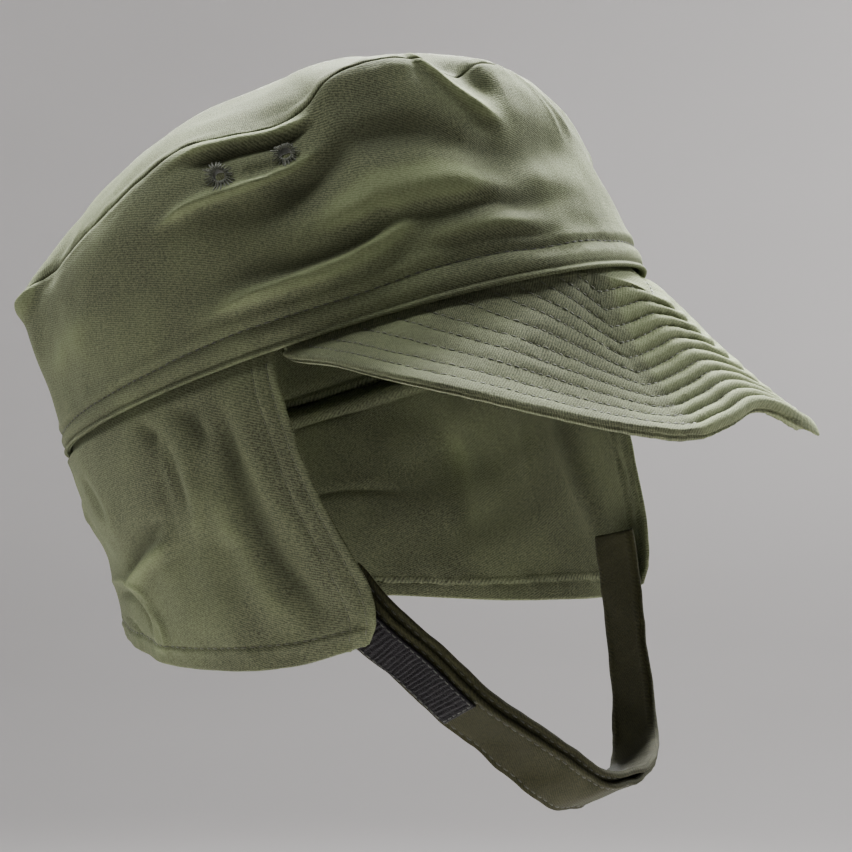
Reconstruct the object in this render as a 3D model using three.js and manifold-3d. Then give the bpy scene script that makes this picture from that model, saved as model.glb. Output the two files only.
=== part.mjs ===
import * as THREE from "three";
import { mergeVertices } from "three/addons/utils/BufferGeometryUtils.js";
import Module from "manifold-3d";

// Combat cap: a soft crown with a stitched peak, a neck flap that covers the ears,
// and a chin strap of two overlapping bands with a patch of hook tape.
// Sizes are in millimetres. +Z is up, the front of the cap faces -Y and the
// wearer's left is +X. The origin is the centre of the head opening.

// Head opening and cloth
const OPENING_HALF_LENGTH = 103;
const OPENING_HALF_WIDTH = 82.4;
const CLOTH = 1.6;
const GAP = 0.45;
const TIPPED_BACK_DEG = 21.2;

// Crown
const SEAM_HALF_LENGTH = 95;
const SEAM_HALF_WIDTH = 81;
const SEAM_SHIFT_BACK = 9;
const SEAM_HEIGHT = 62.5;
const SEAM_RISE_FORWARD = 0.11;
const DOME_HEIGHT = 25;
const DOME_POWER = 2.3;
const CROWN_COLUMNS = 72;
const TOP_COLUMNS = 48;
const TOP_RINGS = [1, 0.94, 0.86, 0.74, 0.58, 0.38, 0.18, 0];
const MM_PER_DEGREE = 1.62;
const WALL_MM = 64;
const TOP_MM = 88;
const FOLD_FREE_SHARE = 0.1;

// Stitched peak
const PEAK_END_DEG = 66.2;
const PEAK_THICKNESS = 3;
const PEAK_ROWS = 12;
const PEAK_COLUMNS = 12;
const RIB_HEIGHT = 0.7;
const ROW_END_POWER = 0.62;
const SHRINK_NEAR = 1;
const SHRINK_FAR = 1.2;
const PEAK_HOLLOW = 3;
const CHEVRON_DEPTH = 6;
const CHEVRON_SPREAD = 0.5;
const CHEVRON_POWER = 1.5;
const PEAK_TUCK = 3.5;
const RIM_CLEARANCE = 0.6;
const EDGE_SAMPLES = 240;

// Neck flap
const FLAP_START_DEG = 67.2;
const FLAP_COLUMNS = 42;
const FLAP_ROWS = [0, 0.07, 0.18, 0.3, 0.42, 0.54, 0.66, 0.78, 0.9, 1];
const FLAP_TUCK = 5;
const FLAP_MM_PER_DEGREE = 1.45;
const FLAP_MM = 82;
const CORNER_REACH_DEG = 35;
const FAR_CORNER_SHARE = 0.5;

// Chin strap
const STRAP_WIDTH = 19;
const STRAP_CLOTH = 2;
const STRAP_STATIONS = 36;
const STRAP_STRIPS = 2;
const LOWER_BAND_RISE = 2.3;
const RIGHT_BAND_START = 9;
const RIGHT_BAND_SHORT = 62;
const TAPE_START = 14;
const TAPE_END = 54;
const TAPE_WIDTH = 15;
const TAPE_MARGIN = 2;
const TAPE_THICKNESS = 1;

// Eyelets
const EYELET_OUTER_R = 5;
const EYELET_HOLE_R = 1.9;
const EYELET_THICKNESS = 2.2;
const EYELET_SIDES = 12;
const EYELETS = [
  { name: "eyelet_right_rear", angle: 63, share: 0.82 },
  { name: "eyelet_right_front", angle: 50, share: 0.85 },
  { name: "eyelet_left_front", angle: 310, share: 0.85 },
  { name: "eyelet_left_rear", angle: 297, share: 0.82 },
];

// Angles run round the head opening from the front over the wearer's right side.
// share stretches the seam's oval, lift raises it.
const SEAM = [
  { angle: 0, share: 1, lift: -1.7 },
  { angle: 10, share: 0.995, lift: -4 },
  { angle: 21, share: 1, lift: 3.5 },
  { angle: 32, share: 1, lift: 4.7 },
  { angle: 42, share: 1, lift: 2.5 },
  { angle: 51, share: 0.99, lift: -3.5 },
  { angle: 60, share: 1, lift: -1.5 },
  { angle: 70, share: 1, lift: 3.3 },
  { angle: 80, share: 1, lift: 4 },
  { angle: 90, share: 1, lift: 1.2 },
  { angle: 105, share: 1, lift: -1.7 },
  { angle: 120, share: 1.005, lift: -2.6 },
  { angle: 132, share: 1.02, lift: -1.5 },
  { angle: 145, share: 1.005, lift: -1 },
  { angle: 165, share: 1, lift: -1 },
  { angle: 185, share: 1, lift: -1 },
  { angle: 210, share: 1, lift: 0 },
  { angle: 240, share: 1, lift: 1 },
  { angle: 270, share: 1, lift: 1.5 },
  { angle: 300, share: 1, lift: 1 },
  { angle: 320, share: 1, lift: 0 },
  { angle: 340, share: 1, lift: -2.5 },
];

// How far the side wall bows out between the rim and the top seam.
const WALL_BOW = [
  { angle: 0, bow: -0.5 },
  { angle: 40, bow: 1 },
  { angle: 90, bow: 2 },
  { angle: 120, bow: 0 },
  { angle: 150, bow: -1 },
  { angle: 200, bow: -1 },
  { angle: 240, bow: 2 },
  { angle: 290, bow: 1.5 },
  { angle: 320, bow: 1 },
  { angle: 342, bow: 1 },
];

// Heights of the side wall's sections above the rim, with the rolled rim
// and the groove of the band's stitching.
const WALL_SECTIONS = [
  { height: 0, relief: 0 },
  { height: 1.2, relief: 0.5 },
  { height: 2.6, relief: 0 },
  { height: 7, relief: 0.1 },
  { height: 8, relief: -0.6 },
  { height: 9.2, relief: 0.1 },
  { height: 14, relief: 0 },
  { height: 20, relief: 0 },
  { height: 26, relief: 0 },
  { height: 32.5, relief: 0 },
  { height: 39, relief: 0 },
  { height: 45, relief: 0 },
  { height: 51, relief: 0 },
  { height: 56.5, relief: 0 },
  { height: 61.8, relief: 0 },
];

// Folds of the crown. Each runs from one place past a second to a third.
// A place is an angle and a share of the wall's height, above 1 on the top panel.
// lift is its height in millimetres, below zero for a dent, and width its half width.
const CROWN_FOLDS = [
  { a1: 76, s1: 0.97, a2: 57, s2: 0.99, a3: 43, s3: 0.88, lift: 2, width: 3.2 },
  { a1: 68, s1: 0.88, a2: 56, s2: 0.93, a3: 43, s3: 0.84, lift: -3.2, width: 3.6 },
  { a1: 77, s1: 0.7, a2: 57, s2: 0.74, a3: 41, s3: 0.84, lift: 2, width: 3.2 },
  { a1: 70, s1: 0.62, a2: 52, s2: 0.66, a3: 36, s3: 0.76, lift: -1.5, width: 5.5 },
  { a1: 79, s1: 0.3, a2: 53, s2: 0.24, a3: 31, s3: 0.35, lift: 2.6, width: 3.8 },
  { a1: 74, s1: 0.4, a2: 52, s2: 0.35, a3: 30, s3: 0.45, lift: -2, width: 4 },
  { a1: 60, s1: 0.5, a2: 36, s2: 0.54, a3: 12, s3: 0.56, lift: 1.8, width: 8 },
  { a1: 38, s1: 0.38, a2: 26, s2: 0.4, a3: 8, s3: 0.36, lift: -2.2, width: 4.2 },
  { a1: 38, s1: 0.2, a2: 20, s2: 0.25, a3: -6, s3: 0.23, lift: 1.5, width: 3.6 },
  { a1: 38, s1: 0.2, a2: 22, s2: 0.16, a3: 2, s3: 0.16, lift: -1.2, width: 3 },
  { a1: 38, s1: 0.66, a2: 29, s2: 0.66, a3: 20, s3: 0.64, lift: -1.5, width: 6 },
  { a1: 18, s1: 1.1, a2: 14, s2: 0.93, a3: 2, s3: 0.68, lift: 3, width: 4 },
  { a1: 8, s1: 1.14, a2: 5, s2: 0.97, a3: -1, s3: 0.84, lift: -3, width: 5 },
  { a1: -12, s1: 0.98, a2: -16, s2: 0.8, a3: -20, s3: 0.62, lift: 0.8, width: 3 },
  { a1: 96, s1: 0.6, a2: 112, s2: 0.5, a3: 128, s3: 0.46, lift: 1, width: 6 },
  { a1: 140, s1: 0.7, a2: 165, s2: 0.6, a3: 190, s3: 0.66, lift: -1.6, width: 6 },
  { a1: 150, s1: 0.4, a2: 175, s2: 0.32, a3: 205, s3: 0.4, lift: 1.4, width: 5 },
  { a1: 222, s1: 0.74, a2: 245, s2: 0.66, a3: 268, s3: 0.72, lift: -1.8, width: 5 },
  { a1: 235, s1: 0.38, a2: 262, s2: 0.3, a3: 288, s3: 0.38, lift: 1.8, width: 4.5 },
  { a1: 300, s1: 0.5, a2: 318, s2: 0.46, a3: 338, s3: 0.5, lift: -1.5, width: 5 },
  { a1: 292, s1: 0.7, a2: 303, s2: 0.76, a3: 316, s3: 0.8, lift: -1.4, width: 5 },
];

// Outer edge of the peak, from the right temple to the left one.
const PEAK_EDGE = [
  { x: -77, forward: 36, up: 13 },
  { x: -87, forward: 66.7, up: 12.3 },
  { x: -90.5, forward: 85, up: 11.5 },
  { x: -90, forward: 99, up: 10.4 },
  { x: -86, forward: 109.2, up: 9 },
  { x: -79, forward: 115.5, up: 6.9 },
  { x: -60, forward: 121.5, up: 1.9 },
  { x: -30, forward: 127.5, up: -4.9 },
  { x: 0, forward: 132.9, up: -9.2 },
  { x: 22, forward: 132.8, up: -6.6 },
  { x: 38, forward: 131, up: -3.5 },
  { x: 54, forward: 129, up: -6.5 },
  { x: 71, forward: 124.6, up: -12.5 },
  { x: 82, forward: 117.4, up: -15 },
  { x: 88, forward: 102, up: -12 },
  { x: 90.5, forward: 85, up: -4 },
  { x: 87, forward: 62, up: 5 },
  { x: 77, forward: 36, up: 13 },
];
const EDGE_MIDDLE_ROW = 8;

// Lower edge of the neck flap, from its front corner to the middle of the back.
const FLAP_HEM = [
  { angle: 67, x: -65, forward: 66, up: -69 },
  { angle: 72, x: -68.5, forward: 59, up: -72 },
  { angle: 80, x: -73.5, forward: 45, up: -77 },
  { angle: 95, x: -77, forward: 24, up: -81 },
  { angle: 112, x: -73, forward: -3, up: -84 },
  { angle: 130, x: -63, forward: -30, up: -84.5 },
  { angle: 148, x: -46, forward: -55, up: -84.5 },
  { angle: 165, x: -24, forward: -68, up: -84 },
  { angle: 180, x: 0, forward: -71, up: -84 },
];

// Front edge of the neck flap, from the rim down to its corner.
const FLAP_FRONT = [
  { share: 0, x: -75.8, forward: 37.5, up: 14.6 },
  { share: 0.17, x: -77, forward: 44.6, up: -1.3 },
  { share: 0.3, x: -76, forward: 49.5, up: -12.5 },
  { share: 0.45, x: -74.5, forward: 55.4, up: -25.2 },
  { share: 0.61, x: -72, forward: 62.3, up: -37.9 },
  { share: 0.73, x: -69, forward: 67.3, up: -47.9 },
  { share: 0.84, x: -66.5, forward: 69.5, up: -56.8 },
  { share: 0.92, x: -65.5, forward: 69, up: -63 },
  { share: 1, x: -65, forward: 66, up: -69 },
];

const FLAP_BOW = [
  { angle: 67, bow: 1.5 },
  { angle: 100, bow: 2 },
  { angle: 125, bow: -1 },
  { angle: 150, bow: -1.5 },
  { angle: 180, bow: -1.5 },
];

// Folds of the neck flap, as for the crown; a share is counted down from the rim.
const FLAP_FOLDS = [
  { a1: 80, s1: 0.02, a2: 78, s2: 0.5, a3: 75, s3: 0.92, lift: -2.4, width: 3.4 },
  { a1: 75, s1: 0.1, a2: 75, s2: 0.4, a3: 72, s3: 0.7, lift: 1, width: 3 },
  { a1: 85, s1: 0.3, a2: 84, s2: 0.55, a3: 80, s3: 0.9, lift: 1.2, width: 4 },
  { a1: 97, s1: 0.03, a2: 93, s2: 0.25, a3: 94, s3: 0.46, lift: -1.8, width: 3.2 },
  { a1: 90, s1: 0.12, a2: 90, s2: 0.35, a3: 93, s3: 0.55, lift: 1.1, width: 3.2 },
  { a1: 85, s1: 0.02, a2: 85, s2: 0.12, a3: 85, s3: 0.24, lift: -1.5, width: 3 },
  { a1: 129, s1: 0.72, a2: 110, s2: 0.56, a3: 96, s3: 0.49, lift: 1.5, width: 3 },
  { a1: 126, s1: 0.64, a2: 110, s2: 0.47, a3: 97, s3: 0.42, lift: -1.6, width: 3 },
  { a1: 86, s1: 0.48, a2: 88, s2: 0.62, a3: 91, s3: 0.76, lift: -1.1, width: 5 },
  { a1: 129, s1: 0.7, a2: 117, s2: 0.78, a3: 121, s3: 0.98, lift: 1.5, width: 3 },
  { a1: 128, s1: 0.12, a2: 124, s2: 0.25, a3: 119, s3: 0.38, lift: -1.2, width: 3.2 },
  { a1: 158, s1: 0.1, a2: 162, s2: 0.5, a3: 157, s3: 0.9, lift: -1.6, width: 5 },
  { a1: 185, s1: 0.2, a2: 190, s2: 0.5, a3: 184, s3: 0.85, lift: 1.3, width: 5 },
  { a1: 214, s1: 0.1, a2: 208, s2: 0.5, a3: 212, s3: 0.9, lift: -1.6, width: 5 },
  { a1: 246, s1: 0.05, a2: 250, s2: 0.45, a3: 244, s3: 0.9, lift: 1.4, width: 4.5 },
  { a1: 274, s1: 0.05, a2: 276, s2: 0.5, a3: 281, s3: 0.9, lift: -1.8, width: 4 },
];

// Upper edge of the chin strap, from inside the right flap to inside the left one.
// lean turns the band from flat against the cheek (0) to flat under the chin (90).
const STRAP = [
  { x: -67, forward: 60.5, up: -47, lean: 36 },
  { x: -60.5, forward: 70, up: -60, lean: 42 },
  { x: -51, forward: 79.5, up: -72, lean: 50 },
  { x: -40.5, forward: 88, up: -85.3, lean: 56 },
  { x: -28, forward: 95, up: -95.5, lean: 54 },
  { x: -13, forward: 100.3, up: -107, lean: 52 },
  { x: -4, forward: 101.5, up: -113.2, lean: 55 },
  { x: 5, forward: 101.4, up: -115.8, lean: 59 },
  { x: 15, forward: 100, up: -116.8, lean: 63 },
  { x: 26, forward: 96.5, up: -117, lean: 66 },
  { x: 37, forward: 91, up: -116.5, lean: 64 },
  { x: 46, forward: 84.5, up: -113, lean: 55 },
  { x: 54, forward: 77, up: -102, lean: 45 },
  { x: 59, forward: 70, up: -85, lean: 36 },
  { x: 61.5, forward: 65, up: -68, lean: 32 },
  { x: 63, forward: 61, up: -52, lean: 30 },
];

const wasm = await Module();
wasm.setup();

function radians(degrees) {
  return THREE.MathUtils.degToRad(degrees);
}

function smoothStep(value) {
  return THREE.MathUtils.smoothstep(value, 0, 1);
}

// Smooth curve through one column of a table, read at a place in its key column.
// With a turn given, the table goes round and starts again after that many degrees.
function readTable(rows, key, column, at, turn = 0) {
  const first = rows[0];
  const last = rows[rows.length - 1];
  const keys = rows.map((row) => row[key]);
  const values = rows.map((row) => row[column]);
  let place = at;
  if (turn) {
    place = first[key] + THREE.MathUtils.euclideanModulo(at - first[key], turn);
    keys.unshift(last[key] - turn);
    values.unshift(last[column]);
    keys.push(first[key] + turn, rows[1][key] + turn);
    values.push(first[column], rows[1][column]);
  } else {
    keys.unshift(2 * keys[0] - keys[1]);
    values.unshift(2 * values[0] - values[1]);
    keys.push(2 * last[key] - rows[rows.length - 2][key]);
    values.push(2 * last[column] - rows[rows.length - 2][column]);
  }
  let i = 1;
  while (i < keys.length - 3 && place >= keys[i + 1]) i++;
  const span = keys[i + 1] - keys[i];
  const u = (place - keys[i]) / span;
  const startSlope = (values[i + 1] - values[i - 1]) / (keys[i + 1] - keys[i - 1]);
  const endSlope = (values[i + 2] - values[i]) / (keys[i + 2] - keys[i]);
  const u2 = u * u;
  const u3 = u2 * u;
  return (
    (2 * u3 - 3 * u2 + 1) * values[i] +
    (u3 - 2 * u2 + u) * span * startSlope +
    (3 * u2 - 2 * u3) * values[i + 1] +
    (u3 - u2) * span * endSlope
  );
}

// Height of one fold at a place, given in millimetres along and up the cloth.
function foldHeight(fold, place, mmPerDegree, mmPerShare) {
  const corners = [1, 2, 3].map(
    (n) => new THREE.Vector2(fold["a" + n] * mmPerDegree, fold["s" + n] * mmPerShare),
  );
  const curve = new THREE.QuadraticBezierCurve(
    corners[0],
    corners[1].clone().multiplyScalar(2).sub(corners[0].clone().add(corners[2]).multiplyScalar(0.5)),
    corners[2],
  );
  const steps = 10;
  let nearest = Infinity;
  let along = 0;
  for (let i = 0; i <= steps; i++) {
    const distance = curve.getPoint(i / steps).distanceTo(place);
    if (distance < nearest) {
      nearest = distance;
      along = i / steps;
    }
  }
  const taper = smoothStep(Math.min(along, 1 - along) * 4 + 0.15);
  return fold.lift * Math.exp(-((nearest / fold.width) ** 2)) * taper;
}

function allFolds(folds, angle, share, mmPerDegree, mmPerShare) {
  let height = 0;
  for (const fold of folds) {
    const middle = fold.a2;
    const near = middle + THREE.MathUtils.euclideanModulo(angle - middle + 180, 360) - 180;
    const place = new THREE.Vector2(near * mmPerDegree, share * mmPerShare);
    height += foldHeight(fold, place, mmPerDegree, mmPerShare);
  }
  return height;
}

// A place measured from the head opening's plane, as the cap sits tipped back.
function tipped(x, forward, up) {
  const tip = radians(TIPPED_BACK_DEG);
  return new THREE.Vector3(
    x,
    -forward * Math.cos(tip) + up * Math.sin(tip),
    forward * Math.sin(tip) + up * Math.cos(tip),
  );
}

function outward(angle) {
  const t = radians(angle);
  const flat = new THREE.Vector2(
    -Math.sin(t) / OPENING_HALF_WIDTH,
    Math.cos(t) / OPENING_HALF_LENGTH,
  ).normalize();
  return tipped(flat.x, flat.y, 0);
}

function rimPoint(angle, inset = 0, up = 0) {
  const t = radians(angle);
  return tipped(
    -OPENING_HALF_WIDTH * Math.sin(t),
    OPENING_HALF_LENGTH * Math.cos(t),
    up,
  ).addScaledVector(outward(angle), -inset);
}

function seamPoint(angle, plain = false) {
  const t = radians(angle);
  const share = plain ? 1 : readTable(SEAM, "angle", "share", angle, 360);
  const lift = plain ? 0 : readTable(SEAM, "angle", "lift", angle, 360);
  const forward = SEAM_HALF_LENGTH * Math.cos(t) * share;
  return tipped(
    -SEAM_HALF_WIDTH * Math.sin(t) * share,
    forward - SEAM_SHIFT_BACK,
    SEAM_HEIGHT + SEAM_RISE_FORWARD * forward + lift,
  );
}

// Folds push out on the side wall and up on the top panel, and turn between the two.
function foldShift(angle, share) {
  const mmPerShare = share > 1 ? TOP_MM : WALL_MM;
  const height = allFolds(CROWN_FOLDS, angle, share, MM_PER_DEGREE, mmPerShare);
  const turn = smoothStep((share - 0.75) / 0.5);
  const direction = outward(angle)
    .multiplyScalar(1 - turn)
    .addScaledVector(tipped(0, 0, 1), turn);
  const free = smoothStep((share - 0.02) / FOLD_FREE_SHARE);
  return direction.multiplyScalar(height * free);
}

function wallPoint(angle, share, relief = 0) {
  const bow = readTable(WALL_BOW, "angle", "bow", angle, 360);
  return rimPoint(angle)
    .lerp(seamPoint(angle), share)
    .addScaledVector(outward(angle), 4 * bow * share * (1 - share) + relief)
    .add(foldShift(angle, share));
}

function topPoint(angle, ring) {
  const plain = seamPoint(angle, true);
  const centre = tipped(0, -SEAM_SHIFT_BACK, SEAM_HEIGHT);
  const edgeShift = seamPoint(angle).sub(plain).multiplyScalar(ring ** 4);
  const fade = smoothStep(ring * 1.6 - 0.3);
  return centre
    .lerp(plain, ring)
    .add(tipped(0, 0, DOME_HEIGHT * (1 - ring ** DOME_POWER)))
    .add(edgeShift)
    .addScaledVector(foldShift(angle, 2 - ring), fade);
}

// A place on the inside of the band, for a piece sewn in under it.
function tuckPoint(angle, height) {
  return wallPoint(angle, height / WALL_MM).addScaledVector(outward(angle), -(CLOTH + GAP));
}

// Open sheet through a grid of points; joined closes it round.
function sheetFrom(grid, joined = false) {
  const positions = [];
  const triangles = [];
  const wide = grid[0].length;
  for (const row of grid) {
    for (const point of row) positions.push(point.x, point.y, point.z);
  }
  for (let i = 0; i < grid.length - 1; i++) {
    for (let j = 0; j < (joined ? wide : wide - 1); j++) {
      const next = (j + 1) % wide;
      const a = i * wide + j;
      const b = i * wide + next;
      const c = (i + 1) * wide + next;
      const d = (i + 1) * wide + j;
      triangles.push(a, b, c, a, c, d);
    }
  }
  const sheet = new THREE.BufferGeometry();
  sheet.setAttribute("position", new THREE.Float32BufferAttribute(positions, 3));
  sheet.setIndex(triangles);
  const merged = mergeVertices(sheet, 1e-3);
  const kept = [];
  const index = merged.index.array;
  for (let i = 0; i < index.length; i += 3) {
    const [a, b, c] = [index[i], index[i + 1], index[i + 2]];
    if (a !== b && b !== c && c !== a) kept.push(a, b, c);
  }
  merged.setIndex(kept);
  merged.computeVertexNormals();
  return merged;
}

// Closed solid: the sheet moved out by one distance, in by another, and walled round.
function thicken(sheet, out, into) {
  const place = sheet.attributes.position;
  const normal = sheet.attributes.normal;
  const count = place.count;
  const positions = [];
  for (const distance of [out, -into]) {
    for (let i = 0; i < count; i++) {
      positions.push(
        place.getX(i) + normal.getX(i) * distance,
        place.getY(i) + normal.getY(i) * distance,
        place.getZ(i) + normal.getZ(i) * distance,
      );
    }
  }
  const index = sheet.index.array;
  const triangles = [];
  const openEdges = new Map();
  for (let i = 0; i < index.length; i += 3) {
    const corners = [index[i], index[i + 1], index[i + 2]];
    triangles.push(corners[0], corners[1], corners[2]);
    triangles.push(corners[2] + count, corners[1] + count, corners[0] + count);
    for (let k = 0; k < 3; k++) {
      const from = corners[k];
      const to = corners[(k + 1) % 3];
      if (!openEdges.delete(to + "," + from)) openEdges.set(from + "," + to, [from, to]);
    }
  }
  for (const [from, to] of openEdges.values()) {
    triangles.push(from, from + count, to + count, from, to + count, to);
  }
  const solid = new THREE.BufferGeometry();
  solid.setAttribute("position", new THREE.Float32BufferAttribute(positions, 3));
  solid.setIndex(triangles);
  return solid;
}

function crownSideSheet() {
  const grid = WALL_SECTIONS.map(({ height, relief }) => {
    const row = [];
    for (let i = 0; i < CROWN_COLUMNS; i++) {
      const angle = (360 * i) / CROWN_COLUMNS;
      row.push(wallPoint(angle, height / WALL_MM, relief));
    }
    return row;
  });
  return sheetFrom(grid.reverse(), true);
}

function crownTopSheet() {
  const grid = TOP_RINGS.map((ring) => {
    const row = [];
    for (let i = 0; i < TOP_COLUMNS; i++) row.push(topPoint((360 * i) / TOP_COLUMNS, ring));
    return row;
  });
  return sheetFrom(grid.reverse(), true);
}

// Half of the peak's outer edge from a temple to the middle, in equal steps of length.
function halfEdge(left, steps) {
  const keyed = PEAK_EDGE.map((row) => ({ ...row, key: 0 }));
  for (let i = 1; i < keyed.length; i++) {
    const step = Math.hypot(
      keyed[i].x - keyed[i - 1].x,
      keyed[i].forward - keyed[i - 1].forward,
      keyed[i].up - keyed[i - 1].up,
    );
    keyed[i].key = keyed[i - 1].key + Math.sqrt(step);
  }
  const start = left ? keyed[keyed.length - 1].key : 0;
  const middle = keyed[EDGE_MIDDLE_ROW].key;
  const fine = [];
  const lengths = [0];
  for (let i = 0; i <= EDGE_SAMPLES; i++) {
    const key = start + ((middle - start) * i) / EDGE_SAMPLES;
    const [x, forward, up] = ["x", "forward", "up"].map((column) =>
      readTable(keyed, "key", column, key),
    );
    fine.push(new THREE.Vector3(x, -forward, up));
    if (i) lengths.push(lengths[i - 1] + fine[i].distanceTo(fine[i - 1]));
  }
  const points = [];
  let i = 1;
  for (let step = 0; step <= steps; step++) {
    const wanted = (lengths[EDGE_SAMPLES] * step) / steps;
    while (i < EDGE_SAMPLES && lengths[i] < wanted) i++;
    const share = (wanted - lengths[i - 1]) / (lengths[i] - lengths[i - 1]);
    points.push(fine[i - 1].clone().lerp(fine[i], share));
  }
  return points;
}

// One row of the peak, from its end at the rim to the middle. The outermost row is
// the peak's edge; rows further in keep its form, get shorter and bend to a chevron.
function halfRow(edge, depth, left) {
  const inset = CLOTH + GAP;
  const middle = edge[edge.length - 1];
  const rimMiddle = rimPoint(0, inset, -RIM_CLEARANCE);
  const run = rimMiddle.clone().sub(middle).normalize();
  const swell = 4 * depth * (1 - depth);
  const hollow = new THREE.Vector3(0, run.z, -run.y).multiplyScalar(PEAK_HOLLOW * swell);
  const chevron = CHEVRON_DEPTH * swell;
  const angle = PEAK_END_DEG * (1 - depth) ** ROW_END_POWER * (left ? -1 : 1);
  const end = rimPoint(angle, inset, -RIM_CLEARANCE);
  const centre = middle.clone().lerp(rimMiddle, depth).add(hollow).addScaledVector(run, chevron);
  const shorter = end.distanceTo(centre) / edge[0].distanceTo(middle);
  const scale = shorter ** (left ? SHRINK_FAR : SHRINK_NEAR);
  const last = edge.length - 1;
  return edge.map((point, i) => {
    const t = i / last;
    const swollen = point.clone().sub(edge[0].clone().lerp(middle, t)).multiplyScalar(scale);
    const bend = Math.max(0, 1 - (1 - t) / CHEVRON_SPREAD) ** CHEVRON_POWER;
    return end.clone().lerp(centre, t).add(swollen).addScaledVector(run, -chevron * bend);
  });
}

// The peak's upper face: rows half a stitch row apart, tucked up inside the rim.
function peakSheet() {
  const rightEdge = halfEdge(false, PEAK_COLUMNS);
  const leftEdge = halfEdge(true, PEAK_COLUMNS);
  const grid = [];
  for (let step = 0; step <= 2 * PEAK_ROWS; step++) {
    const depth = step / (2 * PEAK_ROWS);
    const right = halfRow(rightEdge, depth, false);
    const left = halfRow(leftEdge, depth, true).reverse();
    const angle = PEAK_END_DEG * (1 - depth) ** ROW_END_POWER;
    const tucks = [angle, -angle].map((side) => tuckPoint(side, PEAK_TUCK));
    grid.push([tucks[0], ...right, ...left.slice(1), tucks[1]]);
  }
  return sheetFrom(grid);
}

// The stitched rows pull the peak in, and the padding stands up between them.
function ribbedPeak() {
  const sheet = peakSheet();
  const place = sheet.attributes.position;
  const normal = sheet.attributes.normal;
  const crests = new Set();
  const rightEdge = halfEdge(false, PEAK_COLUMNS);
  const leftEdge = halfEdge(true, PEAK_COLUMNS);
  for (let step = 1; step < 2 * PEAK_ROWS; step += 2) {
    for (const [edge, left] of [
      [rightEdge, false],
      [leftEdge, true],
    ]) {
      for (const point of halfRow(edge, step / (2 * PEAK_ROWS), left).slice(1)) {
        crests.add(point.toArray().map((value) => value.toFixed(2)).join());
      }
    }
  }
  for (let i = 0; i < place.count; i++) {
    const key = [place.getX(i), place.getY(i), place.getZ(i)].map((v) => v.toFixed(2)).join();
    if (!crests.has(key)) continue;
    place.setXYZ(
      i,
      place.getX(i) + normal.getX(i) * RIB_HEIGHT,
      place.getY(i) + normal.getY(i) * RIB_HEIGHT,
      place.getZ(i) + normal.getZ(i) * RIB_HEIGHT,
    );
  }
  return thicken(sheet, 0, PEAK_THICKNESS);
}

function flapPoint(angle, share) {
  const far = angle > 180;
  const side = far ? 360 - angle : angle;
  const [x, forward, up] = ["x", "forward", "up"].map((column) =>
    readTable(FLAP_HEM, "angle", column, side),
  );
  const hem = new THREE.Vector3(far ? -x : x, -forward, up);
  const top = rimPoint(angle, CLOTH + GAP, -RIM_CLEARANCE);
  const bow = readTable(FLAP_BOW, "angle", "bow", side);
  const [frontX, frontForward, frontUp] = ["x", "forward", "up"].map((column) =>
    readTable(FLAP_FRONT, "share", column, share),
  );
  const corner = FLAP_HEM[0];
  const straight = rimPoint(corner.angle).lerp(
    new THREE.Vector3(corner.x, -corner.forward, corner.up),
    share,
  );
  const shift = new THREE.Vector3(frontX, -frontForward, frontUp).sub(straight);
  if (far) shift.x = -shift.x;
  const reach = THREE.MathUtils.clamp(1 - (side - corner.angle) / CORNER_REACH_DEG, 0, 1);
  const strength = reach ** 2 * (far ? FAR_CORNER_SHARE : 1);
  const fold = allFolds(FLAP_FOLDS, angle, share, FLAP_MM_PER_DEGREE, FLAP_MM);
  const free = smoothStep(share / FOLD_FREE_SHARE);
  return top
    .lerp(hem, share)
    .addScaledVector(shift, strength)
    .addScaledVector(outward(angle), 4 * bow * share * (1 - share) + fold * free);
}

function flapSheet() {
  const columns = [];
  for (let i = 0; i <= FLAP_COLUMNS; i++) {
    columns.push(FLAP_START_DEG + ((360 - 2 * FLAP_START_DEG) * i) / FLAP_COLUMNS);
  }
  const tuck = columns.map((angle) => tuckPoint(angle, FLAP_TUCK));
  const rows = FLAP_ROWS.map((share) => columns.map((angle) => flapPoint(angle, share)));
  return sheetFrom([tuck, ...rows]);
}

// Places along the strap: its upper edge, the way across it and the way out of it.
function strapFrames() {
  const keyed = STRAP.map((row) => ({ ...row, key: 0 }));
  for (let i = 1; i < keyed.length; i++) {
    keyed[i].key =
      keyed[i - 1].key +
      Math.hypot(
        keyed[i].x - keyed[i - 1].x,
        keyed[i].forward - keyed[i - 1].forward,
        keyed[i].up - keyed[i - 1].up,
      );
  }
  const whole = keyed[keyed.length - 1].key;
  const at = (key) => {
    const [x, forward, up, lean] = ["x", "forward", "up", "lean"].map((column) =>
      readTable(keyed, "key", column, THREE.MathUtils.clamp(key, 0, whole)),
    );
    return { point: new THREE.Vector3(x, -forward, up), lean };
  };
  return { whole, at };
}

function strapPlace(frames, key, across, out) {
  const nudge = 0.5;
  const { point, lean } = frames.at(key);
  const tangent = frames.at(key + nudge).point.sub(frames.at(key - nudge).point).normalize();
  const inward = new THREE.Vector3(-point.x, -point.y, 0).projectOnPlane(tangent).normalize();
  const down = new THREE.Vector3().crossVectors(tangent, inward);
  if (down.z > 0) down.negate();
  const width = down
    .multiplyScalar(Math.cos(radians(lean)))
    .addScaledVector(inward, Math.sin(radians(lean)));
  const face = new THREE.Vector3().crossVectors(tangent, width).normalize();
  if (face.dot(inward) > 0) face.negate();
  return point.addScaledVector(width, across).addScaledVector(face, out);
}

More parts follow.
